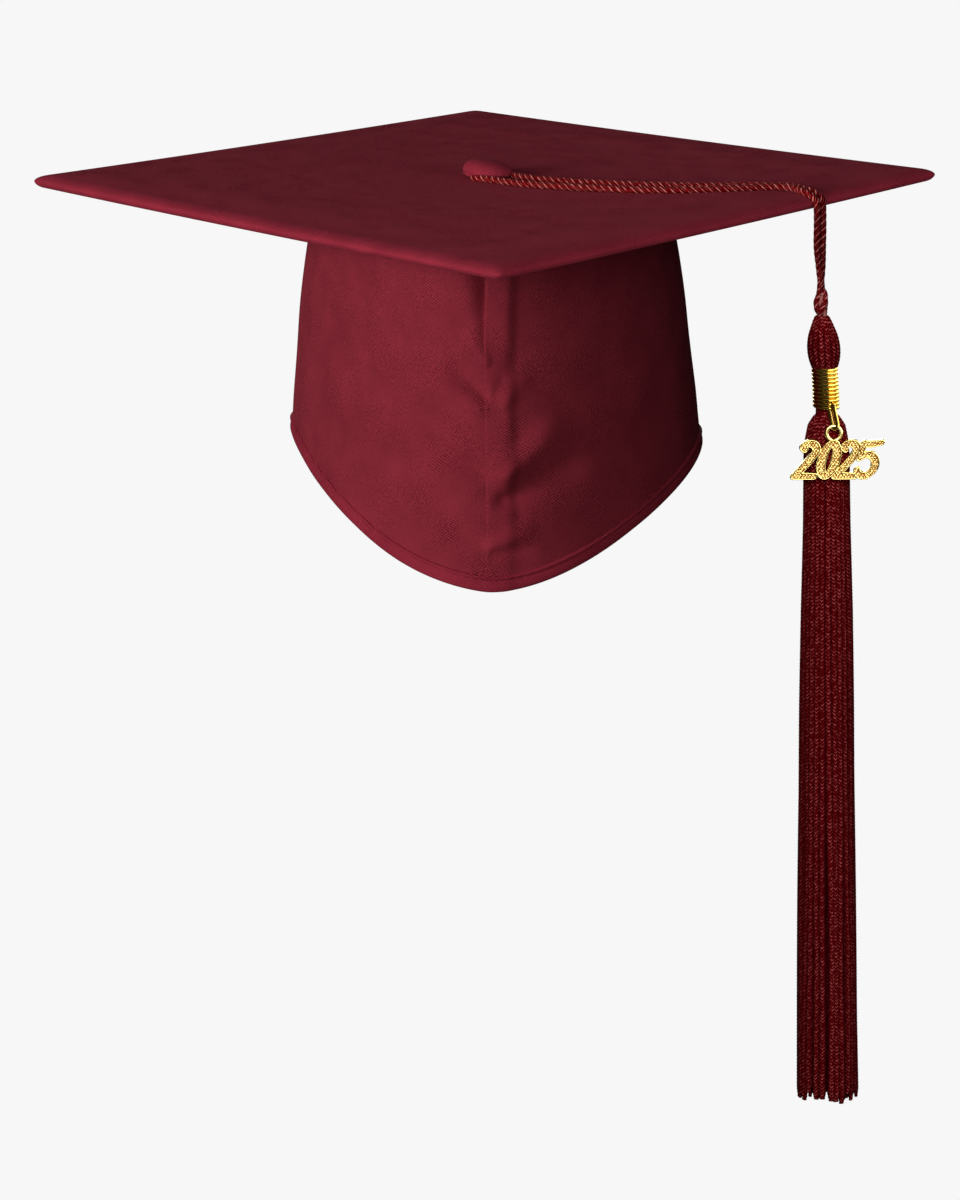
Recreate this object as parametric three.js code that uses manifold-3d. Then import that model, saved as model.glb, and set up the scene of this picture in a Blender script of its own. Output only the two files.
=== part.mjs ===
// A graduation cap (mortarboard): a cloth-covered square board on a fitted skull crown, with a
// covered button, a corded tassel that hangs over the board's edge, and a year charm.
// Millimetres, +Z up. The wearer faces -Y, a corner of the board points that way, and the tassel
// hangs on the wearer's left (+X). The origin is the middle of the crown's ceiling, where the top
// of the head meets the cap.
import * as THREE from "three";
import { mergeVertices } from "three/addons/utils/BufferGeometryUtils.js";
import Module from "manifold-3d";

const wasm = await Module();
wasm.setup();

// ---- Driving dimensions ----
const GAP = 0.3; // between touching layers
const PLY = 0.2; // between the plies of the crown

const BOARD = { side: 241, corner: 5, edge: 3.3, puff: 30, edgeTop: 4.95, top: 6.6, cloth: 0.8 };
const UNDERSIDE = { bottom: 1.2, thick: 0.7, holeRadius: 8.4 };
const CORE = { bottom: 2.2, thick: 1.6, inset: 2.9 };
const PADDING = { inset: 9, bottom: CORE.bottom + CORE.thick + GAP };

const CROWN = {
  top: 0.9,
  halfWidth: 70.3, // at the board
  halfDepth: 87,
  flareWidth: 0.079, // growth of the half sizes for each millimetre down
  flareDepth: 0.08,
  squareness: 1.62, // superellipse exponent: under 2 draws the front and back seams to a keel
  hemSide: -90.4, // lowest edge over the ears, at the front point and at the nape
  hemFront: -129.4,
  hemBack: -105.4,
};
const PANEL = { out: 0, in: 0.8 };
const STIFFENER = { out: PANEL.in + PLY, in: PANEL.in + PLY + 0.6 };
const LINING = { out: STIFFENER.in + PLY, in: STIFFENER.in + PLY + 0.6 };
const HEM = { height: 7, cloth: 0.8, base: 0.8 };
const ELASTIC = { from: 135, to: 225, height: 5.4 }; // degrees round from the front point

const BUTTON = { radius: 9.5, rim: 2.95, dome: 5.3, cover: 0.5, shell: 0.5, shank: 2 };

const CORD = { radius: 1.25, rest: 0.25, sides: 10 };
const STRAND_SPACING = 2.7; // between the two runs of the loop, along the board's edge
const DROP = { out: 122.2, along: 53.4, pivotZ: 0, knotTop: -30.9 };

const KNOT = { radius: 2.75, bottom: -38.5 };
const HEAD = { top: -38.8, bottom: -58.4, neckRadius: 4.7, radius: 6.05, mouth: 2.2 };
const INNER_KNOT = { radius: 2.5, z: -46.5 };
const FERRULE = { top: -58.7, bottom: -74.7, radius: 4.25, wire: 0.8, turns: 8, overlap: 0.35, sides: 8 };
const NECK_RADIUS = 3.1;
const SKIRT = { top: -75, bottom: -342, strands: 12, coreShare: 0.52, gap: 0.3 };
const LINK = { azimuth: 17, wire: 0.5, inner: 1.25, reach: 8.8 };
const CHARM = { thick: 1.2, eyeZ: -83.85, eyeOuter: 3.2, eyeInner: 1.8 };
const DIGITS = { slant: 0.26, stroke: 2.8, middleZ: -93.8 };

// ---- Materials ----
const matte = (colour, roughness = 0.9) =>
  new THREE.MeshStandardMaterial({ color: colour, roughness, metalness: 0 });
const maroonCloth = matte(0x7a2231, 0.75);
const maroonCord = matte(0x5c0d16, 0.6);
const liningCloth = matte(0x4a141e);
const chipboard = matte(0x9c8f7c);
const wadding = matte(0xe8e6e0);
const webbing = matte(0x5a1823);
const buckram = matte(0xd8d4c8);
const gold = new THREE.MeshStandardMaterial({ color: 0xd9a93f, roughness: 0.3, metalness: 1 });
const steel = new THREE.MeshStandardMaterial({ color: 0xb8b8bb, roughness: 0.4, metalness: 1 });

// ---- Building helpers ----
const cap = new THREE.Group();
const radians = THREE.MathUtils.degToRad;

function addPart(parent, name, geometry, material) {
  const mesh = new THREE.Mesh(geometry, material);
  mesh.name = name;
  parent.add(mesh);
  return mesh;
}

// The skin through a row of closed loops with the same number of points each. A ring joins its last
// loop to its first; otherwise both ends are capped about their middles.
function skin(loops, ring = false) {
  const size = loops[0].length;
  const points = loops.flat();
  const faces = [];
  const rows = ring ? loops.length : loops.length - 1;
  for (let i = 0; i < rows; i++) {
    const next = (i + 1) % loops.length;
    for (let k = 0; k < size; k++) {
      const a = i * size + k;
      const b = i * size + ((k + 1) % size);
      const c = next * size + ((k + 1) % size);
      const d = next * size + k;
      faces.push(a, b, c, a, c, d);
    }
  }
  if (!ring) {
    for (const [row, turned] of [[0, true], [loops.length - 1, false]]) {
      const middle = loops[row].reduce((sum, p) => sum.add(p), new THREE.Vector3());
      points.push(middle.divideScalar(size));
      for (let k = 0; k < size; k++) {
        const a = row * size + k;
        const b = row * size + ((k + 1) % size);
        faces.push(points.length - 1, turned ? b : a, turned ? a : b);
      }
    }
  }
  const volume = faces.reduce(
    (sum, _, i) =>
      i % 3 ? sum : sum + points[faces[i]].dot(new THREE.Vector3().crossVectors(points[faces[i + 1]], points[faces[i + 2]])),
    0,
  );
  const geometry = new THREE.BufferGeometry().setFromPoints(points);
  return geometry.setIndex(volume < 0 ? faces.reverse() : faces);
}

function solid(geometry) {
  const bare = new THREE.BufferGeometry();
  bare.setAttribute("position", geometry.getAttribute("position"));
  if (geometry.index) bare.setIndex(geometry.index);
  const merged = mergeVertices(bare, 1e-4);
  return new wasm.Manifold(
    new wasm.Mesh({
      numProp: 3,
      vertProperties: merged.getAttribute("position").array,
      triVerts: new Uint32Array(merged.index.array),
    }),
  );
}

function geometryOf(made) {
  const mesh = made.getMesh();
  const geometry = new THREE.BufferGeometry();
  geometry.setAttribute("position", new THREE.BufferAttribute(mesh.vertProperties, 3));
  return geometry.setIndex(new THREE.BufferAttribute(mesh.triVerts, 1));
}

// A turned shape about Z from [radius, z] points that start and end on the axis or close on themselves.
const turned = (points, segments = 24) =>
  new THREE.LatheGeometry(points.map(([r, z]) => new THREE.Vector2(r, z)), segments).rotateX(Math.PI / 2);

const washerProfile = (inner, outer, low, high) => [
  [inner, low],
  [outer, low],
  [outer, high],
  [inner, high],
  [inner, low],
];

function tube(path, radius, sides, steps) {
  const circle = new THREE.Shape();
  for (let i = 0; i < sides; i++) {
    const a = (i / sides) * 2 * Math.PI;
    circle[i ? "lineTo" : "moveTo"](radius * Math.cos(a), radius * Math.sin(a));
  }
  return new THREE.ExtrudeGeometry(circle, { extrudePath: path, steps, curveSegments: 1 });
}

// ---- Board ----
// The board's outline, a square standing on its corner with rounded corners, as points round it.
function boardOutline() {
  const half = BOARD.side / 2 - BOARD.corner;
  const points = [];
  for (let quarter = 0; quarter < 4; quarter++) {
    for (let i = 0; i <= 4; i++) {
      const a = (quarter + i / 4) * (Math.PI / 2);
      const cx = half * (quarter === 0 || quarter === 3 ? 1 : -1);
      const cy = half * (quarter < 2 ? 1 : -1);
      points.push(new THREE.Vector2(cx + BOARD.corner * Math.cos(a), cy + BOARD.corner * Math.sin(a)));
    }
  }
  return points.map((p) => p.rotateAround(new THREE.Vector2(), Math.PI / 4));
}

// Height of the cover's upper face at an inset from the board's edge: a soft rise over the padding.
function coverTop(inset) {
  const t = Math.min(Math.max(inset - BOARD.edge, 0) / (BOARD.puff - BOARD.edge), 1);
  return BOARD.edgeTop + (BOARD.top - BOARD.edgeTop) * (1 - (1 - t) ** 2);
}

// A profile of [inset, z] points carried round the board. An inset shrinks the outline to the middle.
function roundBoard(profile) {
  const loops = boardOutline().map((p) =>
    profile.map(([inset, z]) => {
      const share = 1 - (2 * inset) / BOARD.side;
      return new THREE.Vector3(p.x * share, p.y * share, z);
    }),
  );
  return skin(loops, true);
}

const toHole = (radius) => BOARD.side / 2 - radius;
const SHANK_HOLE = BUTTON.shank + GAP + 0.2;

// The rounded edge and the soft rise of the cover, at a depth below its outer face.
function coverProfile(depth) {
  const points = [[depth, UNDERSIDE.bottom]];
  const turn = BOARD.edge - depth;
  for (let i = 0; i <= 4; i++) {
    const a = radians(i * 20.5);
    points.push([BOARD.edge - turn * Math.cos(a), BOARD.edgeTop - BOARD.edge + turn * Math.sin(a)]);
  }
  for (const inset of [6, 10, 15, 21, BOARD.puff]) points.push([inset, coverTop(inset) - depth]);
  points.push([toHole(SHANK_HOLE), BOARD.top - depth]);
  return points;
}

addPart(
  cap,
  "board_cover_top",
  roundBoard([...coverProfile(0), ...coverProfile(BOARD.cloth).reverse()]),
  maroonCloth,
);

const slab = (inset, low, high, hole) =>
  roundBoard([
    [inset, low],
    [inset, high],
    [toHole(hole), high],
    [toHole(hole), low],
  ]);

addPart(
  cap,
  "board_cover_underside",
  slab(BOARD.cloth + GAP, UNDERSIDE.bottom, UNDERSIDE.bottom + UNDERSIDE.thick, UNDERSIDE.holeRadius),
  maroonCloth,
);
addPart(cap, "board_core", slab(CORE.inset, CORE.bottom, CORE.bottom + CORE.thick, SHANK_HOLE), chipboard);

const paddingTop = (inset) => coverTop(inset) - BOARD.cloth - GAP;
addPart(
  cap,
  "board_padding",
  roundBoard([
    [PADDING.inset, PADDING.bottom],
    ...[PADDING.inset, 14, 21, BOARD.puff].map((inset) => [inset, paddingTop(inset)]),
    [toHole(SHANK_HOLE), paddingTop(BOARD.puff)],
    [toHole(SHANK_HOLE), PADDING.bottom],
  ]),
  wadding,
);

// ---- Crown ----
// Lowest edge of the crown at an angle round from the front point.
function hemZ(angle) {
  const c = Math.cos(angle);
  const low = c > 0 ? CROWN.hemFront : CROWN.hemBack;
  return CROWN.hemSide + (low - CROWN.hemSide) * Math.abs(c) ** 2.2;
}

// A point of the crown at an angle round from the front point (towards +X), a height and a depth
// inside its outer face.
function crownPoint(angle, z, depth) {
  const power = 2 / CROWN.squareness;
  const s = Math.sin(angle);
  const c = Math.cos(angle);
  const a = CROWN.halfWidth - CROWN.flareWidth * z - depth;
  const b = CROWN.halfDepth - CROWN.flareDepth * z - depth;
  return new THREE.Vector3(a * Math.sign(s) * Math.abs(s) ** power, -b * Math.sign(c) * Math.abs(c) ** power, z);
}

const range = (from, to, count) => Array.from({ length: count + 1 }, (_, i) => from + ((to - from) * i) / count);

// Angles that every layer of the crown shares, so that the plies stay parallel.
const TURN = 9;
const turns = (from, to) => [
  from,
  ...range(-180, 360, 540 / TURN).filter((degrees) => degrees > from + 0.3 && degrees < to - 0.3),
  to,
];

// A cloth wall of the crown between two angles, in degrees, from a top height down to a lower edge.
function crownWall(layer, from, to, topOf, lowOf) {
  const loops = turns(from, to).map((degrees) => {
    const angle = radians(degrees);
    const heights = range(topOf(angle), lowOf(angle), 3);
    return [
      ...heights.map((z) => crownPoint(angle, z, layer.out)),
      ...heights.reverse().map((z) => crownPoint(angle, z, layer.in)),
    ];
  });
  return skin(loops);
}

const crownTop = () => CROWN.top;
const clothLow = (angle) => hemZ(angle) + HEM.base + GAP;
const SEAM = 0.15; // half the gap between two panels, in degrees

for (const [side, from] of [["right", SEAM], ["left", 180 + SEAM]]) {
  const to = from + 180 - 2 * SEAM;
  // "left" and "right" are seen from in front; the wearer's left is on the right.
  addPart(cap, `crown_panel_${side}`, crownWall(PANEL, from, to, crownTop, clothLow), maroonCloth);
  addPart(cap, `crown_lining_${side}`, crownWall(LINING, from, to, crownTop, clothLow), liningCloth);
}

addPart(
  cap,
  "crown_stiffener",
  crownWall(STIFFENER, ELASTIC.to + TURN - 360, ELASTIC.from - TURN, crownTop, clothLow),
  buckram,
);

const elasticLow = (angle) => clothLow(angle) + GAP;
addPart(
  cap,
  "elastic_band",
  crownWall(STIFFENER, ELASTIC.from, ELASTIC.to, (a) => elasticLow(a) + ELASTIC.height, elasticLow),
  webbing,
);

// The hem is a strip folded over the raw edges, all the way round: a channel open upwards.
const hemLoops = range(0, 360, 360 / TURN)
  .slice(0, -1)
  .map((degrees) => {
    const angle = radians(degrees);
    const low = hemZ(angle);
    const outer = -PLY - HEM.cloth;
    const inner = LINING.in + PLY;
    return [
      [outer, low],
      [outer, low + HEM.height],
      [outer + HEM.cloth, low + HEM.height],
      [outer + HEM.cloth, low + HEM.base],
      [inner, low + HEM.base],
      [inner, low + HEM.height],
      [inner + HEM.cloth, low + HEM.height],
      [inner + HEM.cloth, low],
    ].map(([depth, z]) => crownPoint(angle, z, depth));
  });
addPart(cap, "hem_binding", skin(hemLoops, true), maroonCloth);

// The ceiling inside the crown, which covers the button's fastening.
const ceiling = range(0, 360, 360 / TURN)
  .slice(0, -1)
  .map((degrees) => crownPoint(radians(degrees), CROWN.top, LINING.in + GAP));
addPart(
  cap,
  "crown_ceiling",
  skin([0, CROWN.top].map((z) => ceiling.map((p) => new THREE.Vector3(p.x, p.y, z)))),
  liningCloth,
);

// ---- Button ----
// The dome's arc from rim to top, at a depth below the cloth's outer face, without its top point.
function domeArc(depth, rimZ) {
  const rise = BOARD.top + BUTTON.rim + BUTTON.dome - depth - rimZ;
  return range(0, 75, 5).map((degrees) => {
    const a = radians(degrees);
    return [(BUTTON.radius - depth) * Math.cos(a), rimZ + rise * Math.sin(a)];
  });
}
const domeTop = (depth) => [0, BOARD.top + BUTTON.rim + BUTTON.dome - depth];
const rimZ = BOARD.top + BUTTON.rim;
const shellDepth = BUTTON.cover + GAP;
const hollowDepth = shellDepth + BUTTON.shell;
const backThick = 0.8;

function domeShell(outerDepth, innerDepth, lowZ) {
  return turned([
    ...domeArc(outerDepth, lowZ),
    domeTop(outerDepth),
    domeTop(innerDepth),
    ...domeArc(innerDepth, lowZ).reverse(),
    [BUTTON.radius - outerDepth, lowZ],
  ], 24);
}
addPart(cap, "button_cover", domeShell(0, BUTTON.cover, rimZ), maroonCloth);
addPart(cap, "button_shell", domeShell(shellDepth, hollowDepth, rimZ + 0.3), steel);
addPart(
  cap,
  "button_back_plate",
  turned(washerProfile(SHANK_HOLE, BUTTON.radius - hollowDepth - GAP, rimZ, rimZ + backThick), 24),
  steel,
);
// A rivet: a head inside the shell, a shank through the board, and a washer under the board.
addPart(
  cap,
  "button_rivet",
  turned([
    [0, UNDERSIDE.bottom],
    [BUTTON.shank, UNDERSIDE.bottom],
    [BUTTON.shank, rimZ + backThick + GAP],
    [4.4, rimZ + backThick + GAP],
    [4.4, rimZ + backThick + GAP + 0.8],
    [0, rimZ + backThick + GAP + 0.8],
  ]),
  steel,
);
addPart(
  cap,
  "button_washer",
  turned(washerProfile(SHANK_HOLE, UNDERSIDE.holeRadius - 0.8, UNDERSIDE.bottom, UNDERSIDE.bottom + 0.6)),
  steel,
);

// ---- Loop cord on the board ----
// The board's front right edge: out is the distance from the middle across the edge, along runs with it.
function overEdge(out, along, z) {
  return new THREE.Vector3((out + along) * Math.SQRT1_2, (along - out) * Math.SQRT1_2, z);
}
const insetOf = (p) => BOARD.side / 2 - (p.x - p.y) * Math.SQRT1_2;
const cordZ = (inset) => coverTop(inset) + CORD.rest + CORD.radius;

// One run's bend over the edge, from the board's top down to the height where the drop begins.
function edgeBend(along) {
  const bend = DROP.out - (BOARD.side / 2 - BOARD.edge);
  const centreZ = BOARD.edgeTop - BOARD.edge;
  const points = range(78, 0, 4).map((degrees) => {
    const a = radians(degrees);
    return overEdge(BOARD.side / 2 - BOARD.edge + bend * Math.cos(a), along, centreZ + bend * Math.sin(a));
  });
  points.push(overEdge(DROP.out, along, DROP.pivotZ + CORD.radius + 0.2));
  return points;
}

// The runs on the board in plan, from the edge to the button and round its shank.
const NEAR_RUN = [[106, -49.6], [90, -46.8], [70, -41.8], [48, -34.5], [28, -25], [12, -16], [2, -10.6]];
const ROUND_SHANK = [[-4.2, -6.2], [-5.4, -0.5], [-2.4, 4.3], [2.6, 4.6]];
const FAR_RUN = [[7.6, 0.2], [14, -5.6], [26, -13.4], [44, -23.2], [66, -33.2], [86, -40.8], [104, -46.2]];
const NEAR_ALONG = DROP.along - STRAND_SPACING / 2;
const FAR_ALONG = DROP.along + STRAND_SPACING / 2;

const loopPath = new THREE.CatmullRomCurve3(
  [
    ...edgeBend(NEAR_ALONG).reverse(),
    ...[...NEAR_RUN, ...ROUND_SHANK, ...FAR_RUN].map(([x, y]) => {
      const p = new THREE.Vector3(x, y, 0);
      return p.setZ(cordZ(insetOf(p)));
    }),
    ...edgeBend(FAR_ALONG),
  ],
  false,
  "centripetal",
);
addPart(cap, "loop_cord_board", tube(loopPath, CORD.radius, 8, 64), maroonCord);

// ---- Hanging runs ----
// Each starts in a round end at the swing's pivot and stops just above the knot.
for (const [name, along] of [["near", NEAR_ALONG], ["far", FAR_ALONG]]) {
  const run = turned([
    [0, DROP.knotTop + 0.2],
    [CORD.radius, DROP.knotTop + 0.2],
    ...range(0, 90, 3).map((degrees) => {
      const a = radians(degrees);
      return [degrees === 90 ? 0 : CORD.radius * Math.cos(a), DROP.pivotZ + CORD.radius * Math.sin(a)];
    }),
  ], CORD.sides);
  addPart(cap, `loop_cord_drop_${name}`, run, maroonCord).position.copy(overEdge(DROP.out, along, 0));
}

// ---- Tassel ----
const tassel = new THREE.Group();
tassel.position.copy(overEdge(DROP.out, DROP.along, 0));
cap.add(tassel);

const knotPivotZ = DROP.knotTop - KNOT.radius;
addPart(
  tassel,
  "tassel_knot",
  turned([
    ...range(-90, 90, 10).map((degrees) => {
      const a = radians(degrees);
      const drop = degrees < 0 ? knotPivotZ - KNOT.bottom : KNOT.radius;
      return [Math.abs(degrees) === 90 ? 0 : KNOT.radius * Math.cos(a), knotPivotZ + drop * Math.sin(a)];
    }),
  ], 16),
  maroonCord,
);

// The head is an egg of folded strands over the cord's inner knot, open at the top where the cord goes in.
const headMiddle = -50.2;
const headOuter = [
  [HEAD.neckRadius, HEAD.bottom],
  [5.6, -55],
  [HEAD.radius, headMiddle],
  [5.5, -45],
  [4.2, -41],
  [3, HEAD.top],
];
const headHollow = range(55, -90, 6).map((degrees) => {
  const a = radians(degrees);
  const r = INNER_KNOT.radius + GAP;
  return [degrees === -90 ? 0 : r * Math.cos(a), INNER_KNOT.z + r * Math.sin(a)];
});
addPart(
  tassel,
  "tassel_head",
  turned([[0, HEAD.bottom], ...headOuter, [HEAD.mouth, HEAD.top], [1.6, -43.6], ...headHollow], 20),
  maroonCord,
);
addPart(
  tassel,
  "tassel_inner_knot",
  new THREE.SphereGeometry(INNER_KNOT.radius, 12, 8).translate(0, 0, INNER_KNOT.z),
  maroonCord,
);

// ---- Ferrule: a gold wire wound round the neck; its last turn stands off to let the link pass ----
const linkAngle = radians(LINK.azimuth - 90); // where the link crosses the last turn
const openPitch = 2 * LINK.wire + LINK.inner + FERRULE.wire + GAP;
function ferruleCoil() {
  const turns = FERRULE.turns;
  const closedPitch = (FERRULE.top - FERRULE.bottom - 2 * FERRULE.wire - openPitch) / (turns - 1);
  const stepsPerTurn = 12;
  const end = turns + FERRULE.overlap; // it runs on past the link, which can't slip off
  const loops = range(0, end, Math.round(end * stepsPerTurn)).map((turn) => {
    const a = linkAngle + turn * 2 * Math.PI;
    const last = Math.min(Math.max(0, turn - (turns - 1)), 1);
    const z = FERRULE.top - FERRULE.wire - closedPitch * Math.min(turn, turns - 1) - openPitch * last;
    return range(0, 360, FERRULE.sides)
      .slice(0, -1)
      .map((degrees) => {
        const s = radians(degrees);
        const r = FERRULE.radius + FERRULE.wire * Math.cos(s);
        const thick = Math.min(FERRULE.wire, closedPitch / 2 - 0.06);
        return new THREE.Vector3(r * Math.cos(a), r * Math.sin(a), z + thick * Math.sin(s));
      });
  });
  return skin(loops);
}
addPart(tassel, "ferrule_coil", ferruleCoil(), gold);
const linkTopZ = FERRULE.bottom + FERRULE.wire;

// ---- Link and charm ----
// The link is an oval of wire in the upright plane through the neck at its azimuth. It hangs on the
// ferrule's last turn and leans out to the charm's eye.
const linkPlane = (r, z) => new THREE.Vector3(r * Math.cos(linkAngle), r * Math.sin(linkAngle), z);
const linkBottomZ = CHARM.eyeZ + CHARM.eyeInner - GAP - LINK.wire; // middle of the wire inside the eye
function linkRing() {
  const top = new THREE.Vector2(FERRULE.radius, linkTopZ);
  const bottom = new THREE.Vector2(LINK.reach, linkBottomZ + LINK.inner + LINK.wire);
  const lean = Math.atan2(bottom.x - top.x, top.y - bottom.y);
  const half = LINK.inner + LINK.wire;
  const side = new THREE.Vector3(-Math.sin(linkAngle), Math.cos(linkAngle), 0);
  const loops = range(0, 360, 24)
    .slice(0, -1)
    .map((degrees) => {
      const a = radians(degrees);
      const centre = degrees < 180 ? top : bottom;
      return range(0, 360, 8)
        .slice(0, -1)
        .map((around) => {
          const s = radians(around);
          const reach = half + LINK.wire * Math.cos(s);
          const r = centre.x + reach * Math.cos(a + lean);
          const z = centre.y + reach * Math.sin(a + lean);
          return linkPlane(r, z).addScaledVector(side, LINK.wire * Math.sin(s));
        });
    });
  return skin(loops, true);
}
addPart(tassel, "charm_link", linkRing(), gold);

// The room that the link needs in the neck and the skirt.
const linkRoom = new THREE.BoxGeometry(9.6, 2, 13)
  .translate(6.2, 0, -77.7)
  .rotateZ(linkAngle);

// A numeral's stroke of even width along a curve through a few points, with square ends.
function stroke(points, width = DIGITS.stroke, steps = 16) {
  const curve = new THREE.SplineCurve(points.map(([x, y]) => new THREE.Vector2(x, y)));
  const edges = [1, -1].map((side) =>
    range(0, 1, steps).map((t) => {
      const at = curve.getPoint(t);
      const along = curve.getTangent(t);
      return new THREE.Vector2(at.x - (side * along.y * width) / 2, at.y + (side * along.x * width) / 2);
    }),
  );
  return new THREE.Shape([...edges[0], ...edges[1].reverse()]);
}
function ovalRing(outerX, outerY, innerX, innerY) {
  const ring = new THREE.Shape().absellipse(0, 0, outerX, outerY, 0, 2 * Math.PI);
  ring.holes.push(new THREE.Path().absellipse(0, 0, innerX, innerY, 0, 2 * Math.PI));
  return ring;
}
const two = [
  stroke([[-1.7, 4], [-2.7, 5], [-1.4, 6.1], [1.2, 5.8], [2.7, 3.8], [1.6, 0.6], [-1, -3.2], [-3.2, -6]]),
  stroke([[-4.4, -6.2], [0, -6.2], [5.4, -6.2]], 2.6, 2),
];
const zero = [ovalRing(4.5, 7.5, 1, 4.9)];
const five = [
  stroke([[-4.4, 5.9], [0, 5.8], [3.6, 6.4]], 2.4, 4),
  stroke([[-3.4, 6.4], [-3.7, 3.4], [-3.9, 1]], 2.4, 4),
  stroke([[-4.2, 0.4], [-0.8, 1.9], [2.3, 0], [2.8, -3.4], [0.4, -6.1], [-3, -5.4], [-3.8, -3.6]]),
];
const DIGIT_CENTRES = [[two, -8.8], [zero, -0.2], [two, 7.2], [five, 15.6]];

function charm() {
  const flat = { depth: CHARM.thick, bevelEnabled: false, curveSegments: 10 };
  const eye = ovalRing(CHARM.eyeOuter, CHARM.eyeOuter, CHARM.eyeInner, CHARM.eyeInner);
  const hang = linkPlane(LINK.reach, 0);
  const pieces = [
    new THREE.ExtrudeGeometry(eye, flat).translate(hang.x, CHARM.eyeZ, 0),
    ...DIGIT_CENTRES.flatMap(([shapes, x]) =>
      shapes.map((shape) =>
        new THREE.ExtrudeGeometry(shape, flat)
          .applyMatrix4(new THREE.Matrix4().makeShear(0, 0, DIGITS.slant, 0, 0, 0))
          .translate(x, DIGITS.middleZ, 0),
      ),
    ),
  ];
  const joined = pieces.map(solid).reduce((whole, piece) => whole.add(piece));
  return geometryOf(joined).translate(0, 0, -CHARM.thick / 2).rotateX(Math.PI / 2).translate(0, hang.y, 0);
}
addPart(tassel, "year_charm", charm(), gold);

// ---- Neck and skirt ----
const neck = solid(
  turned([[0, SKIRT.top + GAP], [NECK_RADIUS, SKIRT.top + GAP], [NECK_RADIUS, FERRULE.top], [0, FERRULE.top]]),
);
addPart(tassel, "tassel_neck", geometryOf(neck.subtract(solid(linkRoom))), maroonCord);

// Half width and half depth of the skirt at stations down its length.
const SKIRT_STATIONS = [
  [SKIRT.top, 4.6, 4.2],
  [-79, 6.7, 5.3],
  [-84, 7.8, 6.2],
  [-91, 8.5, 6.8],
  [-116, 8.8, 7],
  [-189, 10.5, 7.8],
  [-260, 11.2, 8.2],
  [SKIRT.bottom, 12.1, 8.6],
];
const wedgeStep = 360 / SKIRT.strands;
function skirtStrand(index) {
  const middle = LINK.azimuth - 90 + index * wedgeStep;
  const loops = SKIRT_STATIONS.map(([z, halfWidth, halfDepth]) => {
    const at = (degrees, share, inset) => {
      const a = radians(degrees);
      const along = new THREE.Vector3(-Math.sin(radians(middle)), Math.cos(radians(middle)), 0);
      const p = new THREE.Vector3(halfWidth * share * Math.cos(a), halfDepth * share * Math.sin(a), z);
      return p.addScaledVector(along, inset);
    };
    const gap = SKIRT.gap / 2;
    const core = SKIRT.coreShare + 0.06;
    const from = middle - wedgeStep / 2;
    const to = middle + wedgeStep / 2;
    return [
      at(from, core, gap),
      at(from, 0.97, gap),
      at(middle - wedgeStep / 5, 1, 0),
      at(middle + wedgeStep / 5, 1, 0),
      at(to, 0.97, -gap),
      at(to, core, -gap),
    ];
  });
  return skin(loops);
}
for (let index = 0; index < SKIRT.strands; index++) {
  const plain = skirtStrand(index);
  const shape = index === 0 ? geometryOf(solid(plain).subtract(solid(linkRoom))) : plain;
  addPart(tassel, `skirt_strand_${String(index + 1).padStart(2, "0")}`, shape, maroonCord);
}
const skirtCore = skin(
  SKIRT_STATIONS.map(([z, halfWidth, halfDepth]) =>
    range(0, 360, 16)
      .slice(0, -1)
      .map((degrees) => {
        const a = radians(degrees);
        const share = SKIRT.coreShare;
        return new THREE.Vector3(halfWidth * share * Math.cos(a), halfDepth * share * Math.sin(a), z);
      }),
  ),
);
addPart(tassel, "skirt_core", geometryOf(solid(skirtCore).subtract(solid(linkRoom))), maroonCord);

export default cap;
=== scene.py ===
# Graduation cap: cloth-covered board and crown, covered button, corded tassel, wound ferrule, year charm.
# The making code works in millimetres in the row frame, and build() turns them into metres.
from math import cos, exp, hypot, pi, radians, sin, sqrt

import bpy
import numpy as np
from mathutils import Matrix, Vector, noise


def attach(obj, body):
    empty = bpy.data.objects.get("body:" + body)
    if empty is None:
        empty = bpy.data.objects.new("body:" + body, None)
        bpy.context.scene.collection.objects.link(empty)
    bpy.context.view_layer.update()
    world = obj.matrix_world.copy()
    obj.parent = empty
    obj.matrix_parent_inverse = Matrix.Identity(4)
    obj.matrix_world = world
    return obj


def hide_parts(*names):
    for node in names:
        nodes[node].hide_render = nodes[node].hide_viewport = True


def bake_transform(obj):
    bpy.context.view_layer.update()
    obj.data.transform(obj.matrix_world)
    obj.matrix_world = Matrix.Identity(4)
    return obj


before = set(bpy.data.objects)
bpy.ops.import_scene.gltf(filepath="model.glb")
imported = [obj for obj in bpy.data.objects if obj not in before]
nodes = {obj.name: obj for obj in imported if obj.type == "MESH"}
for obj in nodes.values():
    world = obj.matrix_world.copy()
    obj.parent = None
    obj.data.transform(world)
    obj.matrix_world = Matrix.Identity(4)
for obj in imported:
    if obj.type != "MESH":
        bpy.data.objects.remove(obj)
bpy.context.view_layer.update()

join = np.concatenate
MM = 0.001
TAU = 2 * pi
BOARD_TOP = 6.6
DROP_OUT, DROP_ALONG = 122.2, 53.4  # the tassel's place, out from the board's middle and along its edge
HALF_ROOT = sqrt(0.5)
TASSEL = np.array([(DROP_OUT + DROP_ALONG) * HALF_ROOT, (DROP_ALONG - DROP_OUT) * HALF_ROOT, 0.0])
CIRCLE = np.radians(np.arange(0, 360, 3))

# --- camera, light and floor
CAMERA = dict(
    distance=1885.8, elevation=10.05, azimuth=-1.43, tilt=14.89, pan=-1.35, roll=-0.19, lens=150, sensor=36
)


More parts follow.
